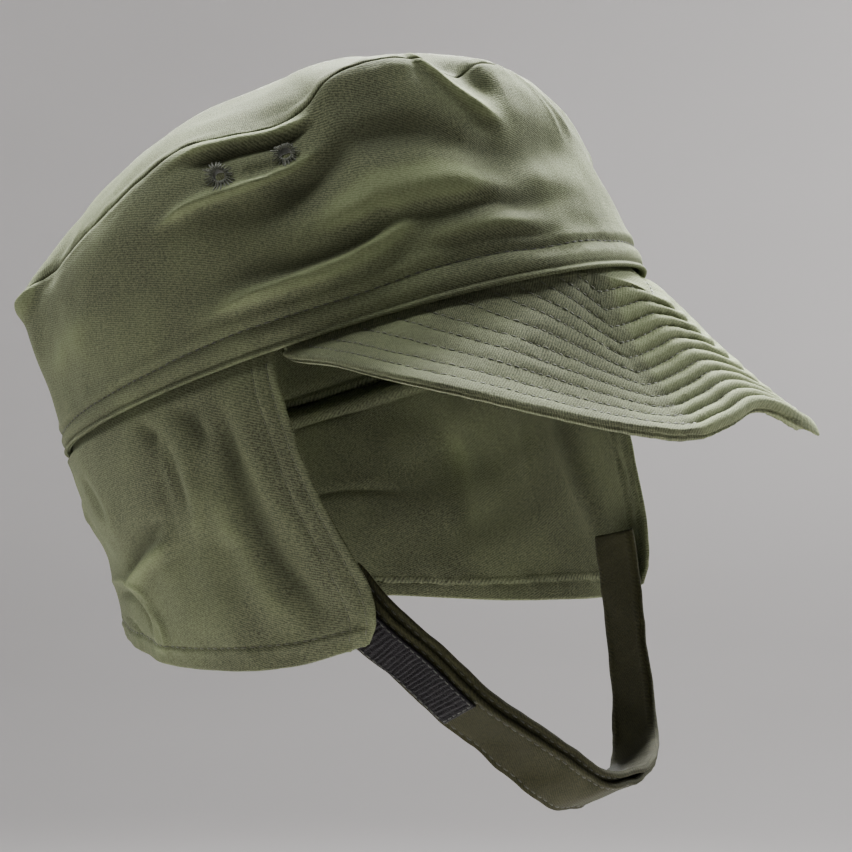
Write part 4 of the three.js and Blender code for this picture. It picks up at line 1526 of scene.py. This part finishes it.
@dataclass
class Peak:
    """The stiffened peak, stitched through in rows that meet in a chevron."""

    thickness: float = 4.2
    edge_roll: float = 0.9
    rows: int = 12
    row_pitch: float = 5.0
    columns: int = 104
    rib_near: float = 0.399
    rib_far: float = 1.52
    rib_form: float = 0.6
    shrink_near: float = 1.15
    shrink_far: float = 1.2
    hollow: float = 4.2
    valley: float = 3.0
    valley_reach: float = 0.6
    chevron_right: float = 4.0
    lift: float = 2.3
    spread: float = 0.65
    chevron_power: float = 1.05
    tuck: float = 3.5
    middle_row: int = 8
    calm_depth: float = 55.0
    edge_groove: float = 0.9
    pressed: float = 6.0
    edge_fall: float = 5.0
    edge_slant: float = 0.75
    tip_start: float = 75.0
    tip_fade: float = 30.0

    @property
    def depth(self) -> float:
        """How deep the peak is at its middle."""
        return self.rows * self.row_pitch

    def half_edge(self, side: Side) -> np.ndarray:
        """Give half of the outer edge, from a temple to the middle, in equal steps.

        Args:
            side: the half of the peak.

        Returns:
            The edge's places, in mm.
        """
        line = PEAK_EDGE.line()
        keys = np.r_[0, np.cumsum(np.sqrt(np.linalg.norm(np.diff(line, axis=0), axis=1)))]
        start = keys[-1] if side is Side.LEFT else 0
        fine = PEAK_EDGE.place(np.linspace(start, keys[self.middle_row], 481), keys)
        return along_line(fine, np.linspace(0, take_length(fine)[-1], self.columns + 1))

    def end_angle(self, depth: float, side: Side) -> float:
        """Give the angle at which a row ends on the rim."""
        angle = float(PEAK_ROWS.read(side.value, depth))
        return -angle if side is Side.LEFT else angle

    def half_row(self, edge: np.ndarray, depth: float, side: Side) -> np.ndarray:
        """Give one row of the peak, from its end at the rim to the middle.

        Args:
            edge: half of the outer edge.
            depth: the share of the way from the outer edge to the rim.
            side: the half of the peak.

        Returns:
            The row's places, in mm.
        """
        right = side is Side.RIGHT
        middle = edge[-1]
        rim_middle, end = (
            rim_point(angle, OPENING.inset, -OPENING.rim_clearance)
            for angle in (0.0, self.end_angle(depth, side))
        )
        run = unit(rim_middle - middle)
        swell = 4 * depth * (1 - depth)
        hollow = np.array([0, run[2], -run[1]]) * self.hollow * swell
        chevron = self.chevron_right * swell * right
        centre = middle * (1 - depth) + rim_middle * depth + hollow + run * chevron
        shorter = np.linalg.norm(end - centre) / np.linalg.norm(edge[0] - middle)
        scale = shorter ** (self.shrink_near if right else self.shrink_far)
        t = np.linspace(0, 1, len(edge))[:, None]
        swollen = (edge - edge[0] * (1 - t) - middle * t) * scale
        bend = np.clip(1 - (1 - t) / self.spread, 0, None) ** self.chevron_power
        valley = CAP_UP * self.valley * swell * np.clip(1 - (1 - t) / self.valley_reach, 0, 1) ** 2
        rise = self.lift * (1 - depth) ** 4 * (smooth_step(t / 0.2) if right else t**3)
        row = end * (1 - t) + centre * t + swollen - run * chevron * bend
        pressed = self.pressed * swell * np.sin(math.pi * t) * right
        return row - valley + CAP_UP * rise + PRESSED_WAY * pressed

    def depths(self) -> np.ndarray:
        """Give the rows' depths in mm, close together at the edge and the stitching.

        Returns:
            The depths, from the outer edge in.
        """
        steps = (0.05, 0.13, 0.26, 0.42, 0.58, 0.74, 0.87, 0.95, 1.0)
        first = (0, 0.03, 0.1, 0.22, 0.4, 0.65, 0.95, 1.4, 1.9, 2.5, 3.1, 3.7, 4.2, 4.6, 4.8, 5)
        rest = ((i + s) * self.row_pitch for i in range(1, self.rows) for s in steps)
        return np.array([*first, *rest])

    def surface(self, depths: np.ndarray) -> np.ndarray:
        """Give the rows of the upper face.

        Args:
            depths: the rows' depths, in mm.

        Returns:
            A grid of places, in mm.
        """
        edges = {side: self.half_edge(side) for side in Side}
        rows = []
        for depth in depths / self.depth:
            right, left = (self.half_row(edges[side], depth, side) for side in Side)
            first, last = (
                tuck_point(np.array(self.end_angle(depth, side)), self.tuck)[None] for side in Side
            )
            rows.append(np.concatenate((first, right, left[-2::-1], last)))
        return np.array(rows)

    def build(self, finishes: Finishes) -> None:
        """Make, stitch and dress the peak.

        Args:
            finishes: the cap's materials.
        """
        depths = self.depths()
        base = self.surface(depths)
        depth = np.broadcast_to(depths[:, None], base.shape[:2])
        normal = grid_normals(base)
        calm = int(np.searchsorted(depths, self.calm_depth))
        normal[calm:] = normal[calm]
        hang = np.exp(-depth / self.edge_fall)[..., None]
        near = smooth_step((self.tip_start - base[..., :1]) / self.tip_fade)
        outer_way = unit(base[0] - base[12])[None] * near
        normal = unit(normal * (1 - hang) + (CAP_UP + outer_way * self.edge_slant) * hang)
        quilt = np.abs(np.sin(math.pi * np.mod(depth / self.row_pitch, 1))) ** self.rib_form
        far = smooth_step(base[..., 0] / 9)
        free = smooth_step((self.calm_depth - depth) / 6)
        inside = np.ones(base.shape[:2])
        inside[:, (0, 1, -2, -1)] = 0
        pucker = ripples(base, 3.4, 31) * (1 - quilt) * 0.2 + ripples(base, 9.0, 32) * 0.12
        height = self.rib_near + (self.rib_far - self.rib_near) * far
        relief = (height * (quilt - 1) + pucker) * inside * (0.7 + 0.3 * free)
        outer = base + normal * relief[..., None]
        outer[0] += (base[6] - base[0]) * self.edge_groove * near[0]
        edge = depth.copy()
        edge[:, (0, -1)] = 0
        cloth = Cloth(
            outer=outer,
            uv=base[..., :2] * (1, 1.12),
            edge=edge,
            # Painted light and shade: the far half is painted paler and the near half darker
            # towards the rim, as the light falls and the crown shades it; the valleys between
            # stitched rows are painted darker as painted shade.
            wear_and_painted_light=(quilt - 0.62) * 1.6 + pucker + 2.2 * far - (1 - far) * 2.8 * depth / self.depth,
            thickness=self.thickness,
            facing=normal,
            roll=self.edge_roll,
        )
        peak = cloth.build("stitched_peak")
        dress(peak, finishes.cloth, "cap_cloth", "peak")
        sewn = [nearest(depths, i * self.row_pitch) for i in range(1, self.rows)]
        rows = Stitching(length=2.1, gap=0.75).sew("peak_stitching", cloth.runs(sewn, 2, 0.08))
        dress(rows, finishes.thread, "cap_cloth")


@dataclass
class NeckFlap:
    """The flap that hangs from temple to temple, over the ears and the neck."""

    start: float = 67.2
    tuck: float = 5.0
    per_degree: float = 1.45
    drop: float = 82.0
    corner_reach: float = 35.0
    far_corner: float = 0.5
    hem: float = 7.5
    hem_groove: Line = Line(0.0, 0.6, -0.5, sharp=True)
    hem_swell: Line = Line(-1.6, 1.3, 0.25)
    front_rows: tuple[float, float] = (2.4, 6.6)
    front_groove: Line = Line(0.0, 0.55, -0.5, sharp=True)
    front_swell: Line = Line(-1.4, 1.2, 0.25)
    rolled_edge: Line = Line(0.0, 1.4, 0.8)
    rumple: Rumple = Rumple(((24.0, 0.5, 41), (10.0, 0.18, 42)))
    shoulder: float = 1.5

    def drop_mm(self, share: np.ndarray | float) -> np.ndarray:
        """Turn a share of the flap's height into mm."""
        return np.multiply(share, self.drop)

    def place(self, angle: np.ndarray, share: np.ndarray) -> tuple[np.ndarray, np.ndarray]:
        """Give places on the flap's outer face.

        Args:
            angle: the angle of each place.
            share: the share of the way down the flap.

        Returns:
            The places and the folds' height there, in mm.
        """
        far = angle > 180
        side = np.where(far, 360 - angle, angle)
        low = FLAP_HEM.place(side)
        top = rim_point(angle, OPENING.inset, -OPENING.rim_clearance)
        bow = FLAP_BOW.read("bow", side) * 4 * share * (1 - share)
        corner, x, forward, up = FLAP_HEM.rows[0]
        level = share[..., None]
        straight = rim_point(corner) * (1 - level) + np.array([x, -forward, up]) * level
        shift = FLAP_FRONT.place(share) - straight
        for moved in (low, shift):
            moved[..., 0] *= np.where(far, -1.0, 1.0)
        reach = np.clip(1 - (side - corner) / self.corner_reach, 0, 1)
        strength = reach**2 * np.where(far, self.far_corner, 1.0)
        folds = sum(
            fold_relief(table, angle, share, self.per_degree, self.drop_mm)
            for table in (FLAP_FOLDS, FLAP_CREASES)
        )
        folds = folds * smooth_step(share / CROWN.fold_free)
        base = top * (1 - level) + low * level + shift * strength[..., None]
        return base + outward(angle) * (bow + folds)[..., None], folds

    def steps(self, span: float) -> tuple[np.ndarray, np.ndarray]:
        """Give the steps down the flap and along it, close together at its edges.

        Args:
            span: the flap's length, in mm.

        Returns:
            The drops of its rows and the lengths of its columns, in mm.
        """
        edge = (0, 0.1, 0.3, 0.6, 1, 1.5, 2, 2.4, 2.8, 3.4, 4.2, 5, 5.7, 6.2, 6.6, 7)
        hem = (*np.arange(73, 76, 0.4), *np.arange(76.2, 80.4, 0.6), 80.7, 81.1)
        down = np.r_[np.arange(0, 72.8, 1.15), hem, 81.45, 81.75, 81.9, self.drop]
        return down, spaced(span, edge, 7.7, 7.4, 1.1)

    def build(self, finishes: Finishes) -> None:
        """Make, stitch and dress the flap.

        Args:
            finishes: the cap's materials.
        """
        span = (360 - 2 * self.start) * self.per_degree
        drop, length = np.meshgrid(*self.steps(span), indexing="ij")
        angle = self.start + length / self.per_degree
        base, folds = self.place(angle, drop / self.drop)
        to_hem = self.drop - drop
        to_front = np.minimum(length, span - length)
        to_edge = np.minimum(to_hem, to_front)
        soft = self.rumple.read(base) * smooth_step(drop / 6)
        above_hem = to_hem - self.hem
        seams = self.hem_groove.read(above_hem) * smooth_step((to_front - 5) / 2)
        seams = seams + self.hem_swell.read(above_hem)
        for row in self.front_rows:
            seams = seams + self.front_groove.read(to_front - row)
            seams = seams + self.front_swell.read(to_front - row)
        pucker = ripples(base, 6.0, 43) * (ridge(to_hem - 6, 5) + ridge(to_front - 3, 4)) * 0.3
        rear = smooth_step((angle - 100) / 25) * smooth_step((190 - angle) / 25)
        shoulder = (self.shoulder + rear) * smooth_step((drop - 0.2) / 1.8)
        shoulder = shoulder * smooth_step(2.2 - drop / 22)
        outer = base + outward(angle) * (soft + seams + pucker + shoulder)[..., None]
        # Painted light and shade: raised folds and the rolled edges are painted paler, the edges as
        # worn cloth and the folds partly as painted highlight; fold hollows and the stitched
        # grooves are painted darker as painted shade.
        wear_and_painted_light = folds + soft + seams * 1.5 + self.rolled_edge.read(to_edge)
        uv = np.stack((length, -drop), axis=-1)
        cloth = Cloth(
            outer=np.concatenate((tuck_point(angle[0], self.tuck)[None], outer)),
            uv=np.concatenate((uv[:1] + np.array([0, self.tuck]), uv)),
            edge=np.concatenate((np.zeros((1, len(length[0]))), to_edge)),
            wear_and_painted_light=np.concatenate((wear_and_painted_light[:1], wear_and_painted_light)),
            thickness=OPENING.cloth,
        )
        flap = cloth.build("neck_flap_cloth")
        dress(flap, finishes.cloth, "cap_cloth", "neck_flap")
        out = cloth.normals()[1:]
        inner = to_front[0] > self.front_rows[1]
        rows = (to_hem[:, 0] > 1.5) & (drop[:, 0] > 1)
        sewn = [(nearest(to_hem[:, 0], self.hem), inner)]
        for wanted in (*self.front_rows, *(span - row for row in self.front_rows)):
            sewn.append((rows, nearest(length[0], wanted)))
        runs = [Run(outer[part], out[part]) for part in sewn]
        hem = Stitching(length=2.3, gap=0.8, radius=0.2).sew("flap_stitching", runs)
        dress(hem, finishes.thread, "cap_cloth")


@dataclass
class Strip:
    """A strip of cloth on the strap, by its ends along it and its sides across it, in mm."""

    start: float
    end: float
    low: float
    high: float
    out: float


@dataclass
class ChinStrap:
    """Two bands of twill that overlap under the chin, and the hook tape that holds them."""

    width: float = 19.0
    cloth: float = 2.0
    rise: float = 2.3
    right_start: float = 9.0
    right_short: float = 62.0
    half_gap: float = 0.18
    groove: Line = Line(2.0, 0.5, -0.35, sharp=True)
    swell: Line = Line(0.9, 0.8, 0.2)
    side_wave: Line = Line(0.0, 3.0, 0.35)
    worn_side: Line = Line(0.0, 0.9, 0.9)
    tape_start: float = 14.0
    tape_end: float = 54.0
    tape_width: float = 15.0
    tape_margin: float = 2.0
    tape_thickness: float = 1.0
    tape_rib: float = 1.55
    rib_height: float = 0.42

    def keys(self) -> np.ndarray:
        """Give the length along the strap at each row of its table."""
        return take_length(STRAP.line())

    def places(self, along: np.ndarray, across: np.ndarray, out: float) -> np.ndarray:
        """Give places on the strap.

        Args:
            along: lengths along it, in mm.
            across: distances from its upper edge, in mm.
            out: the distance out from its middle face, in mm.

        Returns:
            A grid of places, a row for each distance across.
        """
        keys = self.keys()
        behind, point, ahead = (
            STRAP.place(np.clip(along + step, 0, keys[-1]), keys) for step in (-0.5, 0, 0.5)
        )
        lean = np.radians(STRAP.read("lean", np.clip(along, 0, keys[-1]), keys))[:, None]
        way = unit(ahead - behind)
        inward = point * np.array([-1, -1, 0])
        inward = unit(inward - way * np.sum(inward * way, axis=1, keepdims=True))
        down = np.cross(way, inward)
        down = down * np.where(down[:, 2:] > 0, -1, 1)
        wide = down * np.cos(lean) + inward * np.sin(lean)
        face = unit(np.cross(way, wide))
        face = face * np.where(np.sum(face * inward, axis=1, keepdims=True) > 0, -1, 1)
        return point[None] + wide[None] * across[:, None, None] + face[None] * out

    def lay(
        self, strip: Strip, along: np.ndarray, across: np.ndarray
    ) -> tuple[np.ndarray, np.ndarray, np.ndarray, np.ndarray]:
        """Lay a strip on the strap, its rows from the lower side up.

        Args:
            strip: the strip.
            along: the length along the strap of each column.
            across: the distance across it of each row.

        Returns:
            The places, their place on the cloth, and how far each lies from the nearer
            side and from the nearer end.
        """
        deep, far = np.meshgrid(across, along, indexing="ij")
        to_side = np.minimum(deep - strip.low, strip.high - deep)
        to_end = np.minimum(far - strip.start, strip.end - far)
        uv = np.stack((far, deep), axis=-1)
        return self.places(along, across, strip.out), uv, to_side, to_end

    def band(self, name: str, strip: Strip, seed: int) -> tuple[bpy.types.Object, list[Run]]:
        """Make one band of the strap.

        Args:
            name: the name of the object.
            strip: its ends, its sides and the place of its outer face.
            seed: picks its waviness.

        Returns:
            The band, and the lines of stitches along its two sides.
        """
        edge = (0, 0.1, 0.3, 0.6, 0.95, 1.4, 1.8, 2.1, 2.5, 3.0)
        across = (strip.low + spaced(self.width, edge, 3.8, 3.6, 0.9))[::-1]
        ends = (0, 0.1, 0.3, 0.6, 1.0)
        along = strip.start + spaced(strip.end - strip.start, ends, 1.6, 1.5, 0.8)
        base, uv, to_side, to_end = self.lay(strip, along, across)
        seams = self.groove.read(to_side) + self.swell.read(to_side)
        soft = Rumple(((16.0, 0.35, seed), (6.0, 0.12, seed + 1))).read(base)
        wave = ripples(base, 13.0, seed + 2) * self.side_wave.read(to_side)
        cloth = Cloth(
            outer=base + grid_normals(base) * (seams + soft + wave)[..., None],
            uv=uv,
            edge=np.minimum(to_side, to_end),
            # Painted light and shade: the worn sides are painted paler as worn cloth; the stitched
            # grooves are painted darker as painted shade.
            wear_and_painted_light=seams * 2 + soft + self.worn_side.read(to_side),
            thickness=self.cloth,
        )
        sides = (strip.low + self.groove.at, strip.high - self.groove.at)
        return cloth.build(name), cloth.runs([nearest(across, side) for side in sides], 4)

    def build_tape(self, finishes: Finishes) -> None:
        """Make the hook tape, ribbed across.

        Args:
            finishes: the cap's materials.
        """
        low, high = self.tape_margin, self.tape_margin + self.tape_width
        out = 2 * self.half_gap + self.cloth + self.tape_thickness
        strip = Strip(self.tape_start, self.tape_end, low, high, out)
        edge = (0, 0.1, 0.25, 0.45, 0.8, 1.2)
        across = (low + spaced(self.tape_width, edge, 1.7, 1.4, 0.7))[::-1]
        length = self.tape_end - self.tape_start
        along = self.tape_start + spaced(length, edge[:3], 0.5, 0.4, self.tape_rib / 8)
        base, uv, to_side, to_end = self.lay(strip, along, across)
        hooked = smooth_step((np.minimum(to_side, to_end) - 1.0) / 0.7)
        uneven = ripples(base, 5.0, 72) * 0.14
        rib = 0.5 + 0.5 * np.cos(ROUND * (uv[..., 0] / self.tape_rib + uneven))
        rib = rib**1.2 * (0.85 + 0.25 * ripples(base, 3.0, 71))
        relief = (rib - 0.55) * self.rib_height * hooked
        cloth = Cloth(
            outer=base + grid_normals(base) * relief[..., None],
            uv=uv,
            edge=np.minimum(to_side, to_end),
            # Painted shade: the rib's height, which the finish reads to paint the grooves between
            # ribs darker.
            wear_and_painted_light=rib * hooked,
            thickness=self.tape_thickness,
        )
        tape = cloth.build("hook_tape_patch")
        dress(tape, finishes.hook, "hook_tape", "hook_tape")
        rows = [nearest(across, side) for side in (low + 0.8, high - 0.8)]
        columns = [nearest(along, end) for end in (self.tape_start + 0.9, self.tape_end - 0.9)]
        runs = cloth.runs(rows, 3) + cloth.runs(columns, 3, down=True)
        seam = Stitching(length=1.7, gap=0.6, radius=0.2).sew("tape_stitching", runs)
        dress(seam, finishes.dark_thread, "hook_tape")

    def build(self, finishes: Finishes) -> None:
        """Make, stitch and dress both bands and the tape.

        Args:
            finishes: the cap's materials.
        """
        whole = self.keys()[-1]
        gap = self.half_gap
        strips = {
            Side.RIGHT: Strip(
                self.right_start, whole - self.right_short, 0, self.width, gap + self.cloth
            ),
            Side.LEFT: Strip(0, whole, -self.rise, self.width - self.rise, -gap),
        }
        made = {}
        for (side, strip), seed in zip(strips.items(), (51, 61)):
            made[side] = self.band(side.value + "_band", strip, seed)
            dress(made[side][0], finishes.strap, "strap_twill", "chin_strap_" + side.value)
        seams = Stitching(length=2.2, gap=0.8, radius=0.2)
        sewn = {
            side: seams.sew(side.value + "_band_stitching", runs)
            for side, (_, runs) in made.items()
        }
        for seam in sewn.values():
            dress(seam, finishes.dark_thread, "strap_twill")
        self.build_tape(finishes)


# Studio


@dataclass
class SoftLight:
    """A square studio light, placed by metres to the right, up and back towards the camera."""

    name: str
    right: float
    up: float
    back: float
    size: float
    power: float
    spread: float = 50.0
    aim: tuple[float, float, float] = (0.0, 0.0, 0.0)

    def build(self, right: Vector, back: Vector) -> None:
        """Hang the light and turn it to what it lights.

        Args:
            right: the level direction to the right of the picture.
            back: the level direction towards the camera.
        """
        level = Vector((0, 0, 1))
        place = right * self.right + level * self.up + back * self.back
        target = right * self.aim[0] + level * self.aim[1] + back * self.aim[2]
        lamp = bpy.data.lights.new(self.name, "AREA")
        lamp.size = self.size
        lamp.energy = self.power
        lamp.spread = math.radians(self.spread)
        made = place_object(self.name, lamp)
        made.location = place
        made.rotation_mode = "QUATERNION"
        made.rotation_quaternion = (target - place).to_track_quat("-Z", "Y")
        made.visible_camera = False


@dataclass
class Studio:
    """A pale floor that curves up into a wall all round, soft lights and the camera."""

    azimuth: float = math.radians(-49.0)
    elevation: float = math.radians(7.8)
    distance: float = 1.1
    aim_right: float = 0.02296
    aim_up: float = -0.01782
    lens: float = 149.2
    sensor: float = 36.0
    floor: float = -0.36
    radius: float = 2.4
    bend: float = 1.0
    bend_pieces: int = 12
    sides: int = 96
    wall: float = 1.3
    backdrop_power: tuple[float, ...] = (8, 13, 8, 8, 8, 3)

    @property
    def right(self) -> Vector:
        """The level direction to the right of the picture."""
        return Vector((math.cos(self.azimuth), math.sin(self.azimuth), 0))

    def camera(self) -> None:
        """Place the camera at the photograph's viewing angle."""
        a, e = self.azimuth, self.elevation
        back = Vector((math.sin(a) * math.cos(e), -math.cos(a) * math.cos(e), math.sin(e)))
        right = self.right
        up = back.cross(right)
        data = bpy.data.cameras.new("camera")
        data.sensor_width = self.sensor
        data.lens = self.lens
        data.clip_start = 0.05
        data.clip_end = 50
        made = place_object("camera", data)
        made.location = right * self.aim_right + up * self.aim_up + back * self.distance
        made.rotation_mode = "QUATERNION"
        made.rotation_quaternion = (-back).to_track_quat("-Z", "Y")
        bpy.context.scene.camera = made

    def cove(self) -> None:
        """Make the floor and the wall that it bends up into."""
        flat = self.radius - self.bend
        profile = [(r, 0.0) for r in (0.0, 0.6, 1.3, flat)]
        for t in np.linspace(0, math.pi / 2, self.bend_pieces + 1)[1:]:
            profile.append((flat + self.bend * math.sin(t), self.bend * (1 - math.cos(t))))
        profile.append((self.radius, self.wall))
        verts = [
            (r * math.cos(t), r * math.sin(t), z + self.floor)
            for r, z in profile
            for t in circle(self.sides)
        ]
        faces = tube_faces(len(profile), self.sides)
        made = mesh_object("studio_floor", np.array(verts) / MM, faces)
        made.data.flip_normals()
        made.data.materials.append(BackdropPaper().make())

    def lights(self) -> None:
        """Hang the lights: soft light from above, one behind each shoulder and a fill."""
        world = bpy.data.worlds.new("studio")
        bpy.context.scene.world = world
        world.use_nodes = True
        sky = world.node_tree.nodes["Background"]
        sky.inputs["Color"].default_value = linear("#e4e4e8")
        sky.inputs["Strength"].default_value = 0.15
        back = Vector((math.sin(self.azimuth), -math.cos(self.azimuth), 0))
        for light in (
            SoftLight("top_light", 0.1, 1.1, -1.15, 0.6, 24),
            SoftLight("rear_light", 0.1, 0.3, -1.5, 0.4, 4),
            SoftLight("right_light", 1.35, 0.75, -1.05, 0.4, 5.2),
            SoftLight("high_light", 0.0, 1.45, -0.2, 0.5, 1.8),
            SoftLight("left_light", -1.1, 0.45, -0.9, 1.0, 1.5),
            SoftLight("left_high_light", -0.75, 1.2, -0.1, 0.6, 0.7),
            SoftLight("backdrop_right", 1.5, 0.4, -1.4, 0.5, 4, spread=80, aim=(0.5, -0.2, -2.3)),
            *(self.backdrop_light(turn) for turn in range(len(self.backdrop_power))),
        ):
            light.build(self.right, back)

    def backdrop_light(self, turn: int) -> SoftLight:
        """Place one of the lights over the cap that face outward to the wall.

        Args:
            turn: its number in the ring of them.

        Returns:
            The light.
        """
        way = ROUND * turn / len(self.backdrop_power)
        right, back = math.sin(way), -math.cos(way)
        return SoftLight(
            f"backdrop_light_{turn}",
            right * 0.5,
            0.95,
            back * 0.5,
            0.5,
            self.backdrop_power[turn],
            spread=130,
            aim=(right * 2.0, -0.3, back * 2.0),
        )

    def build(self) -> None:
        """Set up the camera, the floor and the lights."""
        self.camera()
        self.cove()
        self.lights()


def main() -> None:
    """Build the cap and its studio."""
    logging.basicConfig(level=logging.INFO, format="%(name)s %(message)s")
    bpy.ops.object.select_all(action="DESELECT")
    Studio().build()
    dark = SewingThread(name="dark_sewing_thread", fibre="#2c2e22", shade="#17190f")
    finishes = Finishes(
        cloth=CottonTwill().make(),
        strap=CottonTwill(
            name="strap_cotton_twill",
            yarn="#2f2f1b",
            shade="#19190e",
            faded_and_highlight="#4a4b30",
            nap=0.04,
        ).make(),
        thread=SewingThread().make(),
        dark_thread=dark.make(),
        eyelet_thread=SewingThread(name="eyelet_thread", fibre="#484d34", shade="#13150d").make(),
        hook=NylonHook().make(),
    )
    for assembly in (Crown(), Peak(), NeckFlap(), ChinStrap()):
        LOG.info("building %s", type(assembly).__name__)
        assembly.build(finishes)


if __name__ == "__main__":
    main()
